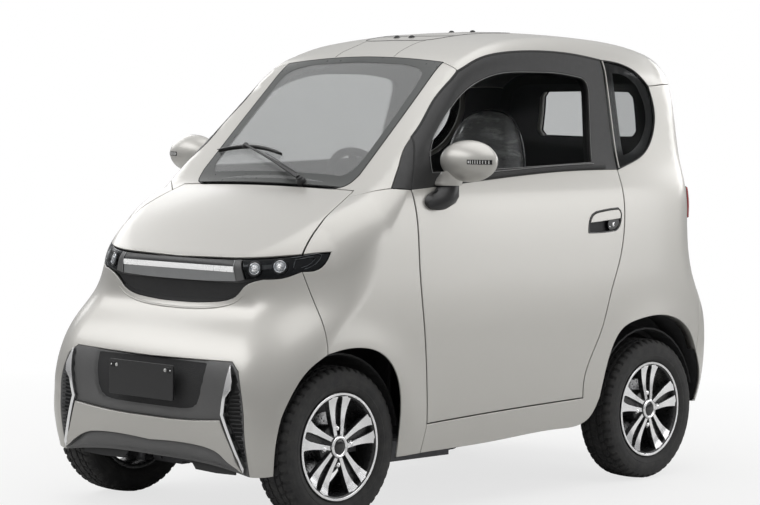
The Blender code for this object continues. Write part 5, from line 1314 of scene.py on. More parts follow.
def tyre():
    """The tyre with its grooves, blocks and serrated wall cut in, at the middle of the wheelbase."""
    half = TYRE_WIDTH / 2
    outer = [(half - 0.0155, 0.1600), (half - 0.0140, 0.1708), (half - 0.0085, 0.1765),
             (half - 0.0035, 0.1850)]
    outer += [(half - 0.0014, 0.1925), (half - 0.0020, 0.1940), (half - 0.0006, 0.2010),
              (half - 0.0002, 0.2100)]
    outer += [(half - 0.0010, 0.2180), (half - 0.0014, 0.2192), (half - 0.0012, 0.2205),
              (half - 0.0028, 0.2270), (half - 0.0062, 0.2350), (half - 0.0095, 0.2400),
              (half - 0.0135, 0.2440), (half - 0.0180, 0.2463)]
    tread = [(x, 0.2500 - 0.0030 * (x / 0.0545) ** 2) for x in np.linspace(0.0522, 0.0, 27)]
    rows = outer + tread
    rows = rows + [(-x, r) for x, r in rows[-2::-1]]
    angle = turns(288)[:, None]
    x, radius = (np.tile(column, (len(angle), 1)) for column in np.array(rows).T)
    across = np.abs(x)
    on_tread = radius > 0.2385
    block = lambda pitch, share, slant, phase: ((angle / (2 * math.pi) * pitch + slant * x
                                                 + phase) % 1.0) < share
    deep = np.zeros_like(radius)
    deep[(np.abs(across - 0.0160) < 0.0026) | (np.abs(across - 0.0395) < 0.0026)] = 0.0062
    shoulder = (across > 0.0415) & on_tread & block(48, 0.30, 4.0, 0.0)
    deep[shoulder] = np.maximum(deep[shoulder], 0.0052)
    ribs = (across > 0.0190) & (across < 0.0365) & block(48, 0.18, 14.0, 0.4)
    deep[ribs] = np.maximum(deep[ribs], 0.0040)
    middle = (across < 0.0130) & block(48, 0.18, -12.0, 0.1)
    deep[middle] = np.maximum(deep[middle], 0.0025)
    serrated = (radius > 0.2205) & (radius < 0.2300) & block(144, 0.5, 0.0, 0.0)
    x = x - np.sign(x) * np.where(serrated, 0.0007, 0.0)
    radius = radius - deep * on_tread
    points = np.stack([x, radius * np.cos(angle), radius * np.sin(angle)], axis=-1)
    return lofted(points + [WHEEL_X, 0, TYRE_RADIUS], True)


def spoke(turn, lean):
    """One flared spoke, its front face first in each ring of points."""
    out = np.array([0, math.cos(turn), math.sin(turn)])
    side = np.array([0, -math.sin(turn), math.cos(turn)])
    reach = np.array([0.026, 0.040, 0.058, 0.080, 0.102, 0.122, 0.138, 0.149, 0.1565])
    apart = np.interp(reach, [0.026, 0.152], [0.0115, 0.0305]) * lean
    wide = np.array([0.0070, 0.0070, 0.0076, 0.0090, 0.0110, 0.0138, 0.0168, 0.0200, 0.0235])
    front = LIP + np.array([-0.0075, -0.0088, -0.0105, -0.0125, -0.0130, -0.0115, -0.0085, -0.0055, -0.0040])
    rings = []
    for r, s, w, x in zip(reach, apart, wide, front):
        inner, outer = (-w * 0.92, w) if lean > 0 else (-w, w * 0.92)
        section = ((inner, 0.0), (outer, 0.0), (outer + 0.0012, 0.0016), (outer + 0.0016, 0.0180),
                   (inner - 0.0016, 0.0180), (inner - 0.0012, 0.0016))
        rings.append([np.array([WHEEL_X + x - back, 0, TYRE_RADIUS]) + out * r + side * (s + across)
                      for across, back in section])
    return lofted(rings)


def web(turn):
    """The dark floor between the two spokes of a pair and round the hub."""
    points = []
    reach = np.linspace(0.030, 0.154, 9)
    for r in reach:
        swing = math.radians(np.interp(r, [0.030, 0.060, 0.110, 0.154], [34, 21, 16.0, 17.5]))
        for share in np.linspace(-1, 1, 7):
            for back in (0.0, 0.006):
                angle = turn + share * swing
                points.append(np.array([WHEEL_X + LIP - 0.0235 - back, r * math.cos(angle),
                                        TYRE_RADIUS + r * math.sin(angle)]))
    grid = np.array(points).reshape(len(reach), 7, 2, 3)
    return shell_of(grid[:, :, 0], grid[:, :, 1])


def tyres_and_rims():
    on_wheels("tyre_skin", tyre(), RUBBER, "END_tyre_SIDE", smooth=28)
    rim = [(LIP - 0.0010, 0.1690), (LIP, 0.1680), (LIP, 0.1618), (LIP - 0.0012, 0.1606),
           (LIP - 0.0040, 0.1600), (LIP - 0.0050, 0.1560), (LIP - 0.0100, 0.1530), (LIP - 0.0300, 0.1512),
           (0.010, 0.1480), (-0.030, 0.1470), (-0.050, 0.1500), (-BEAD - 0.0050, 0.1560),
           (-BEAD - 0.0070, 0.1600), (-BEAD - 0.0070, 0.1690), (-BEAD - 0.0025, 0.1692),
           (-BEAD - 0.0008, 0.1600), (-0.030, 0.1545), (0.020, 0.1550), (BEAD - 0.010, 0.1590),
           (BEAD + 0.0008, 0.1600), (BEAD + 0.0010, 0.1692)]
    bright = lambda c, n: ~((np.abs(n[:, 0]) > 0.55) & (np.abs(c[:, 0]) > WHEEL_X + LIP - 0.0045))
    on_wheels("rim_skin", turned(rim, WHEEL_MIDDLE, 96), [MACHINED, POCKET], "END_rim_SIDE", chosen=bright,
              smooth=32)


def spokes_and_hubs():
    spokes = [spoke(math.radians(90 + 72 * k), lean) for k in range(5) for lean in (-1, 1)]
    on_wheels("spokes", merged(*spokes), [MACHINED, POCKET], chosen=lambda c, n: np.abs(n[:, 0]) < 0.80,
              smooth=25, bevel=0.0005)
    webs = [web(math.radians(90 + 72 * k)) for k in range(5)]
    on_wheels("rim_web", merged(*webs), POCKET, bevel=0.0012)
    hub = [(-0.023 + 0.008, 0.000), (-0.023 + 0.008, 0.066), (LIP - 0.030, 0.070), (LIP - 0.0245, 0.0675),
           (LIP - 0.0210, 0.0600), (LIP - 0.0185, 0.0450), (LIP - 0.0120, 0.0385), (LIP - 0.0050, 0.0350),
           (LIP - 0.0040, 0.000)]
    on_wheels("hub_skin", turned(hub, WHEEL_MIDDLE, 64), POCKET, smooth=30)
    ring = [(LIP - 0.0100, 0.0355), (LIP - 0.0045, 0.0352), (LIP - 0.0008, 0.0330), (LIP + 0.0002, 0.0300),
            (LIP - 0.0010, 0.0262), (LIP - 0.0035, 0.0240), (LIP - 0.0090, 0.0236), (LIP - 0.0100, 0.0300)]
    on_wheels("cap_ring", turned(ring, WHEEL_MIDDLE, 64), CHROME, smooth=60)
    on_wheels("cap", disc_of((WHEEL_X + LIP - 0.0052, 0, TYRE_RADIUS), (1, 0, 0), 0.0238, 0.0032, rings=8,
                             sides=48), GLOSS, smooth=60)


def wheel_nuts():
    nuts = []
    for k in range(4):
        angle = math.radians(90 * k + 4)
        y, z = 0.0575 * math.cos(angle), TYRE_RADIUS + 0.0575 * math.sin(angle)
        nuts.append(disc_of((WHEEL_X + LIP - 0.0150, y, z), (1, 0, 0), 0.0095, 0.0082, rings=6, sides=24,
                            back=0.010))
        six = [(y + 0.0112 * math.cos(angle + math.radians(60 * s)),
                z + 0.0112 * math.sin(angle + math.radians(60 * s))) for s in range(6)]
        nuts.append(shifted(extruded(six, 0.007, axis=0), (WHEEL_X + LIP - 0.0185, 0, 0)))
    on_wheels("wheel_nuts", merged(*nuts), CHROME, smooth=45, bevel=0.0006)


def brakes():
    disc = [(-0.0155, 0.030), (-0.0155, 0.062), (-0.0140, 0.064), (-0.0140, 0.1020), (-0.0135, 0.1025),
            (-0.0090, 0.1025), (-0.0085, 0.1020), (-0.0085, 0.064), (-0.0030, 0.062), (-0.0010, 0.058),
            (-0.0010, 0.030)]
    on_wheels("brake_disc", turned(disc, WHEEL_MIDDLE, 72), DISC_STEEL, smooth=30)
    # the drilled holes are matt black discs on the disc's face: painted shade standing in for holes
    holes = []
    for radius, shift in ((0.074, 0.0), (0.084, 0.33), (0.094, 0.66)):
        for angle in turns(16) + 2 * math.pi * shift / 16:
            holes.append(disc_of((WHEEL_X - 0.0085, radius * math.cos(angle),
                                  TYRE_RADIUS + radius * math.sin(angle)), (1, 0, 0), 0.0027, 0.0002, rings=1,
                                 sides=10, back=0.001))
    on_wheels("disc_holes", merged(*holes), MATT)


def valves():
    valve_turn = math.radians(126)
    valve = [np.array([WHEEL_X + LIP - 0.012 - 0.03 * t, 0, TYRE_RADIUS])
             + (0.1490 - 0.012 * (1 - t)) * np.array([0, math.cos(valve_turn), math.sin(valve_turn)])
             for t in (0, 0.3, 0.6, 1)]
    on_wheels("valve", swept(valve, circle(0.0032, 10)), RUBBER)


# ---------------------------------------------------------------- mirrors, handles, seals, roof and tail
MIRROR, MIRROR_SIZE = np.array([0.650, -0.335, 1.139]), np.array([0.115, 0.055, 0.067])


def on_mirror(x, z, raised=0.0):
    """A point of the mirror's front, which faces the road ahead."""
    flat = ((x - MIRROR[0]) / MIRROR_SIZE[0]) ** 2 + ((z - MIRROR[2]) / MIRROR_SIZE[2]) ** 2
    point = np.array([x, MIRROR[1] - MIRROR_SIZE[1] * math.sqrt(max(0.0, 1 - flat)), z])
    normal = (point - MIRROR) / MIRROR_SIZE ** 2
    return point + raised * normal / np.linalg.norm(normal)


def ovoid():
    """The mirror's shell, flatter at its back."""
    around, end = turns(48), np.array([MIRROR_SIZE[0], 0, 0])
    rings = []
    for theta in math.pi * np.arange(1, 28) / 28:
        y, z = math.sin(theta) * np.cos(around), math.sin(theta) * np.sin(around)
        unit = np.stack([np.full(48, math.cos(theta)), y * np.where(y > 0, 0.74, 1.0), z], axis=1)
        rings.append(MIRROR + MIRROR_SIZE * unit)
    return fanned(MIRROR + end, rings, MIRROR - end)


def oval(centre, across, up, sides=36):
    turn = turns(sides)[:, None]
    return np.array(centre) + np.cos(turn) * np.array(across) + np.sin(turn) * np.array(up)


def mirror_patch(start, end, top, foot, columns, rows, levels):
    """A closed plate on the mirror's front, between two heights above its face."""
    return shell_of(*[np.array([[on_mirror(x, z, level) for x in np.linspace(start, end, columns)]
                                for z in np.linspace(top, foot, rows)]) for level in levels])


def mirrors():
    on_both("mirror_skin", ovoid(), PAINT, "SIDE_door", "door_mirror_SIDE", smooth=80)
    flare = [oval((0.590, -0.338, 1.105), (0.046, 0, 0.004), (0, 0.036, 0)),
             oval((0.578, -0.338, 1.088), (0.048, 0, 0.002), (0, 0.037, 0)),
             oval((0.566, -0.338, 1.075), (0.052, 0, 0.001), (0, 0.039, 0)),
             oval((0.556, -0.338, 1.0670), (0.0570, 0, 0), (0, 0.042, 0)),
             oval((0.553, -0.338, 1.0625), (0.0595, 0, 0), (0, 0.044, 0)),
             oval((0.553, -0.338, 1.0595), (0.0590, 0, 0), (0, 0.043, 0))]
    on_both("mirror_collar", lofted(flare[::-1]), PAINT, "SIDE_door", smooth=50)
    seat, _ = spot(on_side, -0.385, 1.012)
    foot = [oval((0.555, -0.338, 1.0610), (0.047, 0, 0), (0, 0.036, 0)),
            oval((0.562, -0.342, 1.050), (0.042, 0, -0.006), (0, 0.038, 0)),
            oval((0.573, -0.352, 1.036), (0.034, 0, -0.018), (0, 0.045, 0.002)),
            oval((0.576, -0.366, 1.023), (0.020, 0, -0.028), (0, 0.055, 0.004)),
            oval((0.573, -0.380, 1.013), (0.006, 0, -0.032), (0, 0.062, 0.007)),
            oval(seat - [0.010, 0, 0], (0.000, 0, -0.030), (0, 0.062, 0.006))]
    on_both("mirror_foot", lofted(foot[::-1]), SATIN, "SIDE_door", smooth=60)
    on_both("mirror_slot", mirror_patch(0.686, 0.760, 1.1445, 1.1300, 17, 5, (0.0006, -0.003)), GLOSS,
            "SIDE_door")
    ticks = []
    for number in range(9):
        start = 0.6895 + 0.0078 * number
        wide, tall = (0.0050, 0.0075) if number == 0 else (0.0026, 0.0105)
        ticks.append(mirror_patch(start, start + wide, 1.1372 + tall / 2, 1.1372 - tall / 2, 3, 3,
                                  (0.0014, -0.002)))
    on_both("mirror_ticks", merged(*ticks), LAMP_WHITE, "SIDE_door")
    glass = disc_of((0, 0, 0), (0, 1, 0), 1.0, 0.02, rings=6, sides=48, back=0.05)
    points = glass[0] * [0.093, 0.05, 0.052] + MIRROR + [0, 0.0290, 0]
    on_both("mirror_glass", (points, glass[1]), MIRROR_GLASS, "SIDE_door", smooth=60)
    rim = np.array([MIRROR + [0.094 * math.cos(a), 0.0270, 0.0530 * math.sin(a)] for a in turns(48)])
    on_both("mirror_rim", swept(rim, circle(0.0045, 8), closed=True), SATIN, "SIDE_door", smooth=60)


HANDLE = drawn(on_side, [(0.385, 0.893), (0.390, 0.928), (0.402, 0.948), (0.430, 0.961)],
               [(0.500, 0.969), (0.552, 0.972)], [(0.566, 0.960), (0.565, 0.935), (0.552, 0.908),
                                                  (0.535, 0.898)], [(0.460, 0.893)])


def handles():
    ring = (HANDLE[0], np.full(len(HANDLE[0]), 0.0008))
    rim = shrunk(HANDLE[0], np.full(len(HANDLE[0]), 0.0034))
    on_both("handle_frame", strip(np.concatenate([rim, rim[:1]]), 0.0052, 0.0044, 0.0000), GLOSS, "SIDE_door",
            "door_handle_SIDE")
    bowl = fine_panel(LEFT_SIDE, ring, 0.002, depth=0.016, spacing=0.010, hem=0.0008)
    on_both("handle_bowl", bowl, MATT, "SIDE_door")
    flap = drawn(on_side, [(0.3955, 0.925), (0.405, 0.944), (0.432, 0.9575)],
                 [(0.500, 0.9655), (0.551, 0.9685)], [(0.562, 0.958), (0.5615, 0.9375)], [(0.480, 0.9310)])
    on_both("handle_flap", fine_panel(LEFT_SIDE, flap, 0.005, depth=-0.0015, spacing=0.008, hem=0.0018,
                                      lift=lambda p: 0.0015 * eased((p[:, 2] - 0.925) / 0.03)), PAINT,
            "SIDE_door")
    shelf = drawn(on_side, [(0.500, 0.9325), (0.498, 0.905), (0.505, 0.8985)],
                  [(0.535, 0.9015), (0.551, 0.912), (0.5605, 0.9355)], [])
    on_both("handle_shelf", fine_panel(LEFT_SIDE, shelf, 0.010, depth=0.003, spacing=0.008, hem=0.0012),
            SATIN, "SIDE_door")
    for number, (y, z, radius) in enumerate([(0.5270, 0.9180, 0.0075), (0.5050, 0.9100, 0.0030)]):
        seat, normal = spot(on_side, y, z)
        on_both(f"handle_lock_{number}", disc_of(seat - normal * 0.0030, normal, radius, 0.0016, rings=3,
                                                 sides=20), CHROME, "SIDE_door", slot="steel", smooth=50)
    seat, normal = spot(on_side, 0.5270, 0.9180)
    # the keyhole is a matt black sliver on the lock: painted shade standing in for a hole
    key = shifted(extruded(rounded(0.0012, 0.0070, 0.0005), 0.002, axis=0), seat - normal * 0.0012)
    on_both("handle_keyhole", key, MATT, "SIDE_door")


def seals():
    """Beads, rubbers and two pale strips of painted highlight, each a strip along a line: the line, its
    width, height and rise over the skin.
    """
    def ring(outline, gap):
        moved = shrunk(outline, np.full(len(outline), gap))
        return np.concatenate([moved, moved[:1]])

    def chain(*names):
        first, *others = names
        return np.concatenate([SEAMS[first], *(SEAMS[name][1:] for name in others)])

    # the two pale strips are painted highlights: light caught on the edge round the window and on the belt's
    # lip
    on_door = {"window_edge_highlight": (ring(DOOR_WINDOW[0], -0.004), 0.0022, 0.0022, 0.0003, EDGE_HIGHLIGHT),
               "window_seal": (ring(DOOR_WINDOW[0], 0.006), 0.0130, 0.012, -0.0080, SEAL),
               "belt_strip": (on_side((-0.300, 1.0715), (0.052, 1.0955), (0.320, 1.1100), (0.520, 1.1150)),
                              0.0140, 0.0110, 0.0010, SEAL),
               "belt_highlight": (on_side((-0.330, 1.0855), (0.052, 1.1085), (0.320, 1.1225), (0.462, 1.1270)),
                              0.0028, 0.0034, 0.0024, EDGE_HIGHLIGHT)}
    on_body = {"quarter_line": (on_side((0.6015, 1.112), (0.6040, 1.300), (0.6015, 1.486)), 0.0052, 0.0048,
                                0.0010, PAINT),
               "frame_front_rubber": (SEAMS["frame_front"], 0.0075, 0.0060, -0.0025, SEAL),
               "frame_pillar_rubber": (SEAMS["frame_pillar"], 0.0120, 0.0060, -0.0025, SEAL),
               "frame_roof_rubber": (SEAMS["frame_roof"], 0.0120, 0.0060, -0.0025, SEAL),
               "frame_back_rubber": (SEAMS["frame_back"], 0.0058, 0.0160, -0.0095, SEAL),
               "screen_rubber": (chain("screen_corner", "screen_side", "screen_top"), 0.0055, 0.0050,
                                 -0.0012, SEAL),
               "quarter_rubber": (chain("quarter_roof", "quarter_back"), 0.0050, 0.0050, -0.0015, SEAL),
               "hatch_frame": (chain("hatch_quarter", "hatch_roof"), 0.044, 0.008, -(HATCH + 0.006), SEAL)}
    for body, strips in (("SIDE_door", on_door), ("car", on_body)):
        for name, (line, wide, tall, raised, finish) in strips.items():
            on_both(name, strip(line, wide, tall, raised), finish, body)
    window = np.concatenate([REAR_WINDOW[0], REAR_WINDOW[0][:1]])
    made("hatch_rubber", strip(window, 0.0090, 0.0060, -0.0005), SEAL, "tailgate_lid")


def roof_details():
    """The edge and grooves of the roof's panel, a seam and the plugs."""
    lines = {"roof_line": (0.0040, 0.0020, 0.0002, (0.000, 0.000), (0.100, 0.003), (0.150, 0.020),
                           (0.176, 0.100), (0.176, 0.300), (0.168, 0.420), (0.140, 0.440), (0.000, 0.445)),
             "roof_groove_0": (0.0030, 0.0016, 0.0002, (0.000, 0.080), (0.120, 0.090), (0.172, 0.120)),
             "roof_groove_1": (0.0030, 0.0016, 0.0002, (0.000, 0.360), (0.120, 0.365), (0.172, 0.370)),
             "roof_seam": (0.0016, 0.0010, 0.0001, (0.139, -0.148), (0.133, -0.080), (0.131, -0.040),
                           (0.140, 0.008))}
    for name, (wide, tall, raised, *rows) in lines.items():
        on_both(name, strip(on_top(*rows), wide, tall, raised), MATT, "car")
    for number, row in enumerate([(0.035, 0.052), (0.050, 0.355)]):
        seat, normal = spot(on_top, *row)
        on_both(f"roof_plug_{number}", disc_of(seat, normal, 0.0105, 0.0075), MATT, "car", smooth=50)
        on_both(f"roof_washer_{number}", disc_of(seat, normal, 0.0135, 0.0022, rings=4), SEAL, "car",
                smooth=50)


def wiper():
    (foot, foot_normal), (tip, tip_normal) = spot(on_top, 0.150, -0.590), spot(on_top, -0.225, -0.478)
    ends = on_top((-0.356, -0.486), (-0.225, -0.478), (-0.125, -0.486), (-0.030, -0.503))
    base = disc_of(foot + foot_normal * 0.010, foot_normal, 0.016, 0.010, rings=5, sides=28, back=0.012)
    cap = disc_of(foot + foot_normal * 0.021, foot_normal, 0.0115, 0.004, rings=4, sides=28, back=0.006)
    made("wiper_pivot", merged(base, cap), SATIN, "car", "wiper", smooth=50)
    start, end = foot + foot_normal * 0.021, tip + tip_normal * 0.021
    shares = np.linspace(0, 1, 14)
    sag = np.sin(math.pi * shares)[:, None] * foot_normal * 0.006
    path = start + (end - start) * shares[:, None] + sag
    made("wiper_arm", swept(path, circle(0.0062, 10, 0.62),
                            scale=np.interp(shares, [0, 0.15, 0.5, 1], [1.9, 1.7, 1.0, 0.8])), SATIN, "car",
         smooth=60)
    rod_path = path + foot_normal * 0.004 + np.array([0.004, 0.006, 0.004])
    made("wiper_spring", swept(rod_path[1:9], circle(0.0022, 8)), STEEL, "car", smooth=60)
    blade = ends + skin_normal(ends) * 0.0135
    scale = np.interp(np.linspace(0, 1, len(blade)), [0, 0.08, 0.5, 0.92, 1], [0.35, 0.8, 1.0, 0.8, 0.35])
    made("wiper_blade", swept(blade, circle(0.0085, 10, 0.55), scale=scale), SATIN, "car", smooth=60)
    rubber = ends + skin_normal(ends) * 0.0055
    made("wiper_rubber", swept(rubber, rounded(0.0030, 0.0085, 0.0010, 2)), SEAL, "car")
    joint = disc_of(tip + tip_normal * 0.016, tip_normal, 0.012, 0.009, rings=4, sides=20, back=0.004)
    made("wiper_joint", joint, SATIN, "car", smooth=50)
    # the cowl's slots are matt black strips: painted shade standing in for openings
    cowl = []
    for side in (-1, 1):
        for number in range(7):
            x = side * (0.050 + 0.033 * number) if not (side > 0 and number < 3) else side * (
                    0.130 + 0.02 * number)
            line = on_top((x - 0.011, -0.588), (x + 0.011, -0.588))
            cowl.append(strip(line, 0.0060, 0.0020, -0.004))
    made("cowl_slots", merged(*cowl), MATT, "car")


def tail_lamps():
    lamp = drawn(on_tail, [(0.440, 0.920), (0.436, 0.985), (0.440, 1.050)], [(0.490, 1.040)],
                 [(0.497, 0.985), (0.500, 0.930)], [])
    on_both("tail_lamp_lens", fine_panel(TAIL_CHART, lamp, 0.018, depth=-0.0115, spacing=0.010, hem=0.0045,
                                         lift=lambda p: 0.0018 * eased(1 - np.abs(p[:, 2] - 0.985) / 0.07)),
            RED, "car", "tail_lamp_SIDE")
    base = (lamp[0], np.full(len(lamp[0]), -0.007))
    on_both("tail_lamp_base", fine_panel(TAIL_CHART, base, 0.012, depth=-0.0045, spacing=0.012, hem=0.002),
            GLOSS, "car")
    amber = cornered(on_tail, (0.447, 0.962), (0.447, 0.984), (0.490, 0.982), (0.491, 0.962))
    on_both("tail_lamp_amber", fine_panel(TAIL_CHART, amber, 0.004, depth=-0.0140, spacing=0.01, hem=0.0012),
            AMBER, "car")
    clear = cornered(on_tail, (0.447, 0.936), (0.447, 0.956), (0.491, 0.957), (0.492, 0.941))
    on_both("tail_lamp_clear", fine_panel(TAIL_CHART, clear, 0.004, depth=-0.0135, spacing=0.01, hem=0.0012),
            CRYSTAL, "car")


def tail_fittings():
    """The hatch's pull and lamps, the valance, the reflectors and the blank rear plate."""
    pull = drawn(on_tail, [(0.000, 0.792), (0.105, 0.792)], [(0.110, 0.770)], [(0.000, 0.768)], across=True)
    made("hatch_pull", fine_panel(TAIL_CHART, pull, 0.010, depth=-0.008, spacing=0.012, hem=0.003), SATIN,
         "tailgate_lid")
    for number, (x, z) in enumerate([(0.045, 0.7665), (-0.045, 0.7665)]):
        seat, _ = spot(on_tail, x, z)
        made(f"hatch_plate_lamp_{number}",
             shifted(turned_block(0.030, 0.010, 0.012, 0.003), seat + [0, 0.006, 0]), LAMP_WHITE,
             "tailgate_lid", bevel=0.001)
    stop = drawn(on_tail, [(0.000, 1.432), (0.085, 1.430)], [(0.088, 1.418)], [(0.000, 1.419)], across=True)
    made("high_stop_lamp", fine_panel(TAIL_CHART, stop, 0.010, depth=-0.003, spacing=0.012, hem=0.002), RED,
         "tailgate_lid")
    lower = drawn(on_tail, [(0.000, 0.345), (0.250, 0.345), (0.400, 0.350)], [(0.385, 0.262)],
                  [(0.000, 0.258)], across=True)
    made("tail_valance", fine_panel(TAIL_CHART, lower, 0.010, depth=-0.003, spacing=0.014, hem=0.003,
                                    lift=lambda p: 0.003 * eased(1 - np.abs(p[:, 2] - 0.302) / 0.03)),
         CHARCOAL, "car")
    reflector = cornered(on_tail, (0.330, 0.405), (0.410, 0.407), (0.410, 0.388), (0.330, 0.386))
    on_both("tail_reflector", fine_panel(TAIL_CHART, reflector, 0.006, depth=-0.003, spacing=0.012,
                                         hem=0.0015), RED, "car")
    seat, normal = spot(on_tail, 0.0, 0.560)
    seat = seat + normal * 0.010
    board = shifted(turned_block(0.300, 0.108, 0.003, 0.006), seat)
    made("rear_plate", tipped_solid(board, -math.degrees(math.atan2(normal[2], normal[1])), seat), SATIN,
         "car", bevel=0.0008)


# ---------------------------------------------------------------- cabin
WHEEL_CENTRE, COLUMN_FOOT = np.array([0.130, -0.270, 1.030]), np.array([0.130, -0.420, 0.950])
SEAT_X = 0.130


def pad(half, crown, channels):
    """A crowned cushion as (points, faces, seam): its corners are rounded off, its top is sewn along the
    channels, rows of (axis, place, width, depth), and its seam runs round its middle."""
    power, cells = 9.0, 22
    lines = np.sin(np.linspace(-math.pi / 2, math.pi / 2, cells + 1))
    u, v = np.meshgrid(lines, lines, indexing="ij")
    edge = ((1 - np.abs(u) ** power) * (1 - np.abs(v) ** power)).clip(0) ** (1 / 3)
    x = half[0] * u * np.sqrt(1 - 0.30 * v ** 4)
    y = half[1] * v * np.sqrt(1 - 0.30 * u ** 4)
    top = half[2] * edge + crown * (1 - u ** 2) * (1 - v ** 2)
    for axis, place, wide, deep in channels:
        offset = (u if axis == 0 else v) - place
        top = top - deep * np.exp(-(offset / wide) ** 2) * edge
    points, index = [], {}
    for sheet, z in ((0, top), (1, -half[2] * edge * 0.92)):
        for i in range(cells + 1):
            for j in range(cells + 1):
                rim = i in (0, cells) or j in (0, cells)
                if sheet and rim:
                    index[1, i, j] = index[0, i, j]
                    continue
                index[sheet, i, j] = len(points)
                points.append((x[i, j], y[i, j], z[i, j] if not rim else 0.0))
    faces = []
    for i in range(cells):
        for j in range(cells):
            faces.append((index[0, i, j], index[0, i + 1, j], index[0, i + 1, j + 1], index[0, i, j + 1]))
            faces.append((index[1, i, j], index[1, i, j + 1], index[1, i + 1, j + 1], index[1, i + 1, j]))
    loop = [index[0, i, 0] for i in range(cells)] + [index[0, cells, j] for j in range(cells)]
    loop += [index[0, i, cells] for i in range(cells, 0, -1)] + [index[0, 0, j] for j in range(cells, 0, -1)]
    points = np.array(points)
    return points, faces, points[loop]


def tipped(points, lean, about):
    """Points turned about an axis along X through `about`, by degrees that tip the top backwards."""
    angle = math.radians(lean)
    offset = points - np.array(about)
    turned_points = offset.copy()
    turned_points[:, 1] = offset[:, 1] * math.cos(angle) + offset[:, 2] * math.sin(angle)
    turned_points[:, 2] = offset[:, 2] * math.cos(angle) - offset[:, 1] * math.sin(angle)
    return turned_points + np.array(about)


def plumped(piece):
    """Fills a cushion with air: a short cloth run whose result is kept, no point moved beyond `rise`."""
    rise, steps = 0.008, 16
    mesh = piece.data
    start = np.array([tuple(v.co) for v in mesh.vertices])
    cloth_modifier = piece.modifiers.new("air", "CLOTH")
    settings = cloth_modifier.settings
    settings.quality, settings.mass = 6, 0.25
    settings.tension_stiffness = settings.compression_stiffness = 18
    settings.bending_stiffness = 1.2
    settings.use_pressure, settings.uniform_pressure_force = True, 4.0
    settings.effector_weights.gravity = 0.0
    cloth_modifier.point_cache.frame_start, cloth_modifier.point_cache.frame_end = 1, steps
    scene = bpy.context.scene
    for number in range(1, steps + 1):
        scene.frame_set(number)
    settled = piece.evaluated_get(bpy.context.evaluated_depsgraph_get()).to_mesh()
    moved = np.array([tuple(v.co) for v in settled.vertices]) - start
    piece.modifiers.remove(cloth_modifier)
    scene.frame_set(1)
    length = np.linalg.norm(moved, axis=1, keepdims=True)
    moved *= np.minimum(1, rise / np.maximum(length, 1e-9))
    mesh.vertices.foreach_set("co", (start + moved).ravel())
    mesh.update()


def cushion(name, centre, half, crown, channels, lean, about, finishes, middle, replaces=(), dome=None):
    """A soft cushion tipped about a point, its middle in the second finish; `half` is half its width,
    depth and height. With a `dome` it is a back: it stands, its crowned face looks forward and its top
    narrows."""
    points, faces, loop = pad(half, crown, channels)
    if dome is not None:
        for rows in (points, loop):
            high = np.clip((rows[:, 1] / half[1] - 0.15) / 0.85, 0, 1)
            rows[:, 0] *= 1 - dome * high ** 2.6
        stand = np.array([[1, 0, 0], [0, 0, -1], [0, 1, 0]], float).T
        points, loop = points @ stand, loop @ stand
    points, loop = (tipped(rows + np.array(centre), lean, about) for rows in (points, loop))
    piece = made(name, (points, faces), finishes, "car", replaces, smooth=180)
    second_finish(piece, lambda c, n: np.abs(c[:, 0] - centre[0]) < middle)
    plumped(piece)
    finer = piece.modifiers.new("finer", "SUBSURF")
    finer.levels = finer.render_levels = 1
    made(name + "_piping", swept(loop, circle(0.0035, 8), closed=True), SEAT, "car", smooth=60)


def seats():
    x = SEAT_X
    ribs = [(0, -0.62, 0.05, 0.012), (0, 0.62, 0.05, 0.012), (1, -0.35, 0.05, 0.006), (1, 0.0, 0.05, 0.006),
            (1, 0.35, 0.05, 0.006)]
    cushion("driver_cushion", (x, 0.012, 0.482), (0.222, 0.200, 0.046), 0.008, ribs, 3, (x, 0.012, 0.48),
            [SEAT, SEAT_MIDDLE], 0.125, "driver_seat_cushion")
    cushion("driver_back", (x, 0.290, 0.930), (0.185, 0.385, 0.044), 0.008, ribs, 5.5, (x, 0.28, 0.54),
            [WRAP, WRAP], 0.105, "driver_seat_back", dome=0.24)
    shell = [oval((x, 0.333 + 0.045 * t, 0.560 + 0.480 * t), (0.185 - 0.02 * t, 0, 0), (0, 0.018, 0),
                  28) for t in np.linspace(0, 1, 7)]
    made("driver_back_shell", lofted(shell), TRIM, "car", smooth=60)
    plinth = [oval((x, 0.090, z), (w, 0, 0), (0, d, 0),
                   40) for z, w, d in ((0.262, 0.185, 0.205), (0.300, 0.180, 0.200), (0.400, 0.175, 0.190),
                                       (0.446, 0.190, 0.200))]
    made("driver_plinth", lofted(plinth), TRIM, "car", smooth=50)
    ribs = [(0, 0.0, 0.02, 0.010), (1, -0.3, 0.05, 0.006), (1, 0.3, 0.05, 0.006)]
    cushion("bench_cushion", (0.0, 0.628, 0.555), (0.345, 0.158, 0.048), 0.008, ribs, 4, (0, 0.628, 0.55),
            [SEAT, SEAT_MIDDLE], 0.260, "rear_bench")
    cushion("bench_back", (0.0, 0.835, 0.800), (0.345, 0.225, 0.034), 0.008, ribs, 11, (0.0, 0.80, 0.58),
            [SEAT, SEAT_MIDDLE], 0.260, dome=0.12)
    made("bench_box", block((-0.340, 0.340), (0.470, 0.880), (0.4235, 0.520)), CARPET, "car", bevel=0.012)


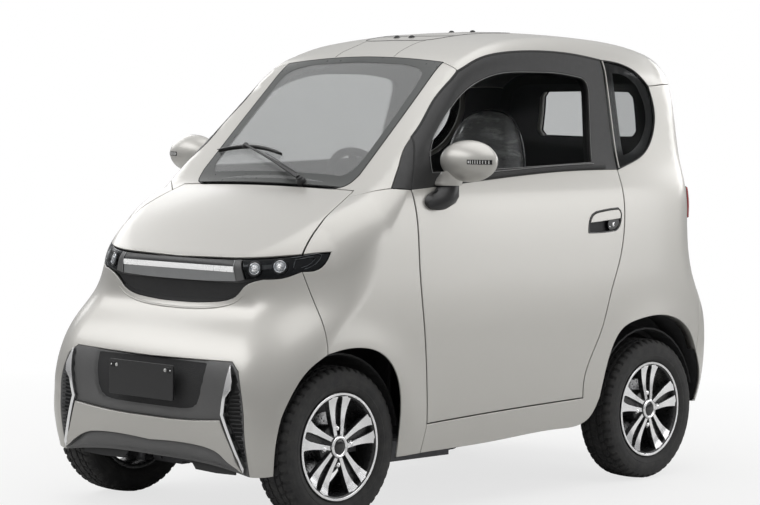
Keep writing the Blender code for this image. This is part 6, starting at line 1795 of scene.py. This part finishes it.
def dashboard():
    section = np.array([(-0.552, 0.800), (-0.556, 0.985), (-0.552, 1.018), (-0.520, 1.029), (-0.440, 1.033),
                        (-0.370, 1.024), (-0.325, 1.006), (-0.298, 0.975), (-0.294, 0.945), (-0.312, 0.900),
                        (-0.322, 0.862), (-0.360, 0.830), (-0.440, 0.806)])
    across = np.concatenate([[-0.437, -0.430], np.linspace(-0.40, 0.40, 25), [0.430, 0.437]])
    rings = []
    for x in across:
        tuck = 0.010 * (1 - min(1.0, (0.4371 - abs(x)) / 0.012)) ** 2
        hood = 0.020 * math.exp(-((x - 0.130) / 0.105) ** 4)
        ring = np.array([(x, y, z) for y, z in section])
        middle = ring.mean(0)
        ring[4:8, 2] += hood * np.array([0.2, 0.7, 0.6, 0.2])
        ring = ring + (middle - ring) * tuck / 0.1 * [0, 1, 1]
        rings.append(ring)
    made("dash_skin", lofted([ring[::-1] for ring in rings]), TRIM, "car", "dashboard", smooth=40)
    shelf = [np.array([(x, -0.300, 0.905), (x, -0.2895, 0.9075), (x, -0.2895, 0.918), (x, -0.300, 0.9205)])
             for x in np.linspace(-0.425, 0.425, 30)]
    made("dash_strip", lofted([ring[::-1] for ring in shelf]), SILVER, "car", smooth=30)
    screen = shifted(turned_block(0.175, 0.100, 0.010, 0.008), (-0.085, -0.297, 0.975))
    made("dash_screen", tipped_solid(screen, 14, (-0.085, -0.297, 0.975)), GLOSS, "car", bevel=0.0015)
    dial = shifted(turned_block(0.190, 0.070, 0.010, 0.030), (0.130, -0.318, 1.012))
    made("dash_dial", tipped_solid(dial, 20, (0.130, -0.318, 1.012)), GLOSS, "car", bevel=0.0015)
    for number, x in enumerate((-0.395, -0.215, 0.030, 0.385)):
        vent = shifted(turned_block(0.062, 0.052, 0.012, 0.020), (x, -0.300, 0.965))
        made(f"dash_vent_{number}", tipped_solid(vent, 12, (x, -0.300, 0.965)), SATIN, "car", bevel=0.002)
        slats = [shifted(turned_block(0.050, 0.0022, 0.004, 0.0010), (x, -0.2935, 0.950 + 0.0075 * k))
                 for k in range(5)]
        made(f"vent_slats_{number}", tipped_solid(merged(*slats), 12, (x, -0.300, 0.965)), CHARCOAL, "car")
    column = (COLUMN_FOOT - WHEEL_CENTRE) / np.linalg.norm(COLUMN_FOOT - WHEEL_CENTRE)
    path = WHEEL_CENTRE + column * np.array([0.034, 0.050, 0.090, 0.130, 0.169])[:, None]
    made("column_shroud", swept(path, circle(0.034, 20, 1.05), scale=[0.80, 1.0, 1.05, 1.0, 0.9]), TRIM,
         "car", smooth=50)
    for side, word in ((-1, "wash"), (1, "turn")):
        start = WHEEL_CENTRE + column * 0.062 + np.array([side * 0.030, 0, 0])
        stalk = start + np.array([[side * t, -0.010 * t / 0.11, 0.012 * t / 0.11]
                                  for t in (0, 0.03, 0.07, 0.105)])
        made(f"stalk_{word}", swept(stalk, circle(0.0060, 12, 0.8), scale=[1.1, 0.9, 1.0, 1.35]), SATIN,
             "car", smooth=60)


def tipped_solid(solid, lean, about):
    return tipped(np.asarray(solid[0], float), lean, about), solid[1]


def hand_wheel():
    along = (COLUMN_FOOT - WHEEL_CENTRE) / np.linalg.norm(COLUMN_FOOT - WHEEL_CENTRE)
    across = np.array([1.0, 0, 0])
    upward = np.array([0, -along[2], along[1]])
    rings, swing = [], turns(14)[:, None]
    for angle in turns(72):
        out = math.cos(angle) * across + math.sin(angle) * upward
        grip = 0.0142 + 0.0014 * max(0, math.cos(2 * (angle - math.radians(20)))) ** 6
        rings.append(WHEEL_CENTRE + out * (0.148 + grip * np.cos(swing))
                     + along * grip * 0.92 * np.sin(swing))
    made("wheel_rim_grip", lofted(rings, True), SEAT, "hand_wheel", "steering_wheel", smooth=180)
    for number, angle in enumerate((180, 0, 270)):
        out = math.cos(math.radians(angle)) * across + math.sin(math.radians(angle)) * upward
        side = np.cross(along, out)
        rings = []
        for reach, wide, thick, drop in ((0.030, 0.030, 0.010, 0.012), (0.070, 0.022, 0.008, 0.012),
                                         (0.110, 0.017, 0.0075, 0.006), (0.142, 0.019, 0.0075, 0.000)):
            centre = WHEEL_CENTRE + out * reach + along * drop
            rings.append(np.array([centre + side * wide * a - along * thick * b
                                   for a, b in rounded(2, 2, 0.9, 3)]))
        made(f"wheel_spoke_{number}", lofted(rings), SILVER if number < 2 else SATIN, "hand_wheel", smooth=50)
    boss = [oval(WHEEL_CENTRE + along * d, across * r, upward * r * 0.82,
                 40) for d, r in ((0.029, 0.030), (0.020, 0.046), (0.002, 0.050), (-0.004, 0.046),
                                  (-0.0070, 0.030), (-0.0080, 0.004))]
    made("wheel_boss", lofted(boss), SATIN, "hand_wheel", smooth=40)


def linings():
    """Door trims and pulls, set inside the skin."""
    trim = outline_of(("-door_front", 0.090), ("-belt", 0.030), ("-door_back", 0.080), ("-door_foot", 0.100))
    on_both("door_trim", fine_panel(LEFT_SIDE, trim, 0.004, depth=0.031, spacing=0.04, hem=0.003,
                                    lift=lambda p: -0.003 * eased((p[:, 2] - 0.70) / 0.04)), TRIM,
            "SIDE_door")
    pull = on_side((-0.060, 0.905), (0.100, 0.893), (0.240, 0.897))
    line = pull - skin_normal(pull) * 0.037
    on_both("door_pull", strip(line, 0.016, 0.014, 0.0, 10), SATIN, "SIDE_door")


# ---------------------------------------------------------------- solids that keep their own shape
def dress_solids():
    """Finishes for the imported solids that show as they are."""
    dressed = {"battery_pack": BATTERY, "chassis_frame": STEEL, "floor_pan": UNDER, "front_suspension": CAST,
               "rear_axle": CAST, "steering_rack": DISC_STEEL, "steering_knuckle_left": CAST,
               "steering_knuckle_right": CAST, "front_arch_liner_left": UNDER,
               "front_arch_liner_right": UNDER, "rear_arch_liner_left": UNDER, "rear_arch_liner_right": UNDER}
    for name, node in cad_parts.items():
        finish = dressed.get(name, TRIM)
        if node.data.materials:
            for number in range(len(node.data.materials)):
                node.data.materials[number] = finish
        else:
            node.data.materials.append(finish)


def arch_return(line, axle, thick=0.0035, foot=0.425):
    """The flange behind an arch edge: it runs inboard from the skin and turns down to the liner."""
    rings = []
    for point in line:
        out = np.array([0, point[1] - axle, point[2] - TYRE_RADIUS])
        out /= np.linalg.norm(out)
        start = point - skin_normal(point[None])[0] * 0.002
        rings.append(np.array([np.array([x, start[1], start[2]]) + out * rise
                               for x, rise in ((start[0], 0.0), (start[0], thick), (foot, thick),
                                               (foot, -0.070), (foot + thick, -0.070), (foot + thick, 0.0))]))
    return lofted(rings)


def underbody():
    """Springs, the flanges of the rear arches and the dark bulkhead behind the nose."""
    for end, y in (("front", FRONT), ("rear", REAR)):
        for side in (-1, 1):
            word = "left" if side > 0 else "right"
            top, foot = (0.318, y - 0.048, 0.445), (0.328, y - 0.048, 0.205)
            if end == "rear":
                top, foot = (0.300, y - 0.070, 0.430), (0.300, y - 0.070, 0.290)
            shares = np.linspace(0, 1, 181)
            axis = np.array(top) + (np.array(foot) - np.array(top)) * shares[:, None]
            coil = axis + np.stack([0.030 * np.cos(13 * math.pi * shares),
                                    0.030 * np.sin(13 * math.pi * shares), 0 * shares], axis=1)
            made(f"{end}_{word}_spring", swept(coil * [side, 1, 1], circle(0.0045, 8)), CAST, "car",
                 smooth=60)
    for name, line in (("rear_arch", SEAMS["rear_arch"]), ("tail_arch", SEAMS["tail_arch"])):
        on_both(f"{name}_return", arch_return(line, REAR), UNDER, "car", smooth=30)
    crash = block((-0.050, 0.050), (FRONT - 0.225, FRONT + 0.245), (0.300, 0.640))
    made("nose_bulkhead", crash, MATT, "car", bevel=0.010)


# ---------------------------------------------------------------- stage, light and camera
def stage():
    floor = Finish("floor", (0.80, 0.80, 0.79), 0.55)
    floor.tint(floor.noise(1.4, 3), (0.78, 0.78, 0.77), (0.83, 0.83, 0.82))
    glow = floor.node("ShaderNodeEmission", {"Color": (1, 1, 1, 1)})
    seen = floor.node("ShaderNodeLightPath").outputs["Is Camera Ray"]
    spread = floor.node("ShaderNodeVectorMath", {0: floor.place}, operation="LENGTH")
    fade = floor.range(spread.outputs["Value"], 0.74, 1.0, 1.4, 4.0)
    floor.show(floor.blend(floor.maths("MULTIPLY", seen, fade), floor.shader, glow))
    mesh = bpy.data.meshes.new("floor")
    ring = [(24 * math.cos(a), 24 * math.sin(a), 0.0) for a in turns(64)]
    mesh.from_pydata(ring, [], [tuple(range(64))])
    mesh.materials.append(floor.material)
    ground = bpy.data.objects.new("floor", mesh)
    bpy.context.scene.collection.objects.link(ground)

    world = bpy.data.worlds.new("studio")
    world.use_nodes = True
    sky = Nodes(world.node_tree)
    path = sky.node("ShaderNodeLightPath").outputs
    height = sky.node("ShaderNodeSeparateXYZ", {0: sky.node("ShaderNodeTexCoord").outputs["Generated"]})
    rise = sky.range(height.outputs["Z"], 0.30, 1.0, -0.15, 0.85)
    lit = sky.tree.nodes["Background"]
    lit.inputs["Strength"].default_value = 0.36
    sky.tree.links.new(rise, lit.inputs["Color"])
    reflected = sky.node("ShaderNodeBackground", {"Color": rise, "Strength": 0.9})
    white = sky.node("ShaderNodeBackground", {"Color": (1, 1, 1, 1)})
    straight = sky.maths("MAXIMUM", path["Is Camera Ray"], path["Is Transmission Ray"])
    sky.show(sky.blend(straight, sky.blend(path["Is Glossy Ray"], lit, reflected), white), "World Output")
    bpy.context.scene.world = world

    for name, place, aim, size, power in (("softbox_top", (0.6, -0.1, 3.9), (0, 0.1, 0.8), (4.6, 4.6), 76),
                                          ("softbox_front", (-2.7, -3.6, 3.3), (0, -0.9, 0.6), (4.2, 1.5),
                                           58), ("softbox_side", (3.7, 3.1, 1.50), (0.5, 0.2, 0.65),
                                                 (3.0, 1.7), 36),
                                          ("softbox_rear", (0.6, 5.2, 2.5), (0.2, 0.9, 0.6), (3.6, 1.6), 56),
                                          ("softbox_far", (-3.6, 0.5, 2.4), (0, 0, 0.8), (2.4, 1.6), 25)):
        light = bpy.data.lights.new(name, "AREA")
        light.shape, light.size, light.size_y, light.energy = "RECTANGLE", size[0], size[1], power
        lamp = bpy.data.objects.new(name, light)
        lamp.location = place
        lamp.rotation_euler = (Vector(aim) - Vector(place)).to_track_quat("-Z", "Y").to_euler()
        bpy.context.scene.collection.objects.link(lamp)

    turn, pitch, roll = 0.75633, 0.05234, 0.01501       # the photograph's view, in radians
    stand, focal_length = Vector((5.77031, -6.17049, 1.24928)), 115.105
    back = Vector((math.sin(turn) * math.cos(pitch), -math.cos(turn) * math.cos(pitch), math.sin(pitch)))
    right = Vector((math.cos(turn), math.sin(turn), 0))
    up = back.cross(right)
    tilted = math.cos(roll) * right + math.sin(roll) * up
    rise_axis = math.cos(roll) * up - math.sin(roll) * right
    lens = bpy.data.cameras.new("camera")
    lens.sensor_width, lens.lens, lens.clip_end = 36.0, focal_length, 60
    camera = bpy.data.objects.new("camera", lens)
    turned_to = Matrix((tilted, rise_axis, back)).transposed().to_4x4()
    camera.matrix_world = Matrix.Translation(stand + HOME) @ turned_to
    bpy.context.scene.collection.objects.link(camera)
    bpy.context.scene.camera = camera
    bpy.context.scene.view_settings.view_transform = "Standard"


STEPS = [body_panels, glazing, bumper_insert, bumper_lip, grilles, lip_bar, front_plate, lamp_recess,
         recess_brow, lamp_bar, lamp_units, tyres_and_rims, spokes_and_hubs, wheel_nuts, brakes, valves,
         mirrors, handles, seals, roof_details, wiper, tail_lamps, tail_fittings, seats, dashboard,
         hand_wheel, linings, dress_solids, underbody]
for make_part in STEPS:
    make_part()
stage()
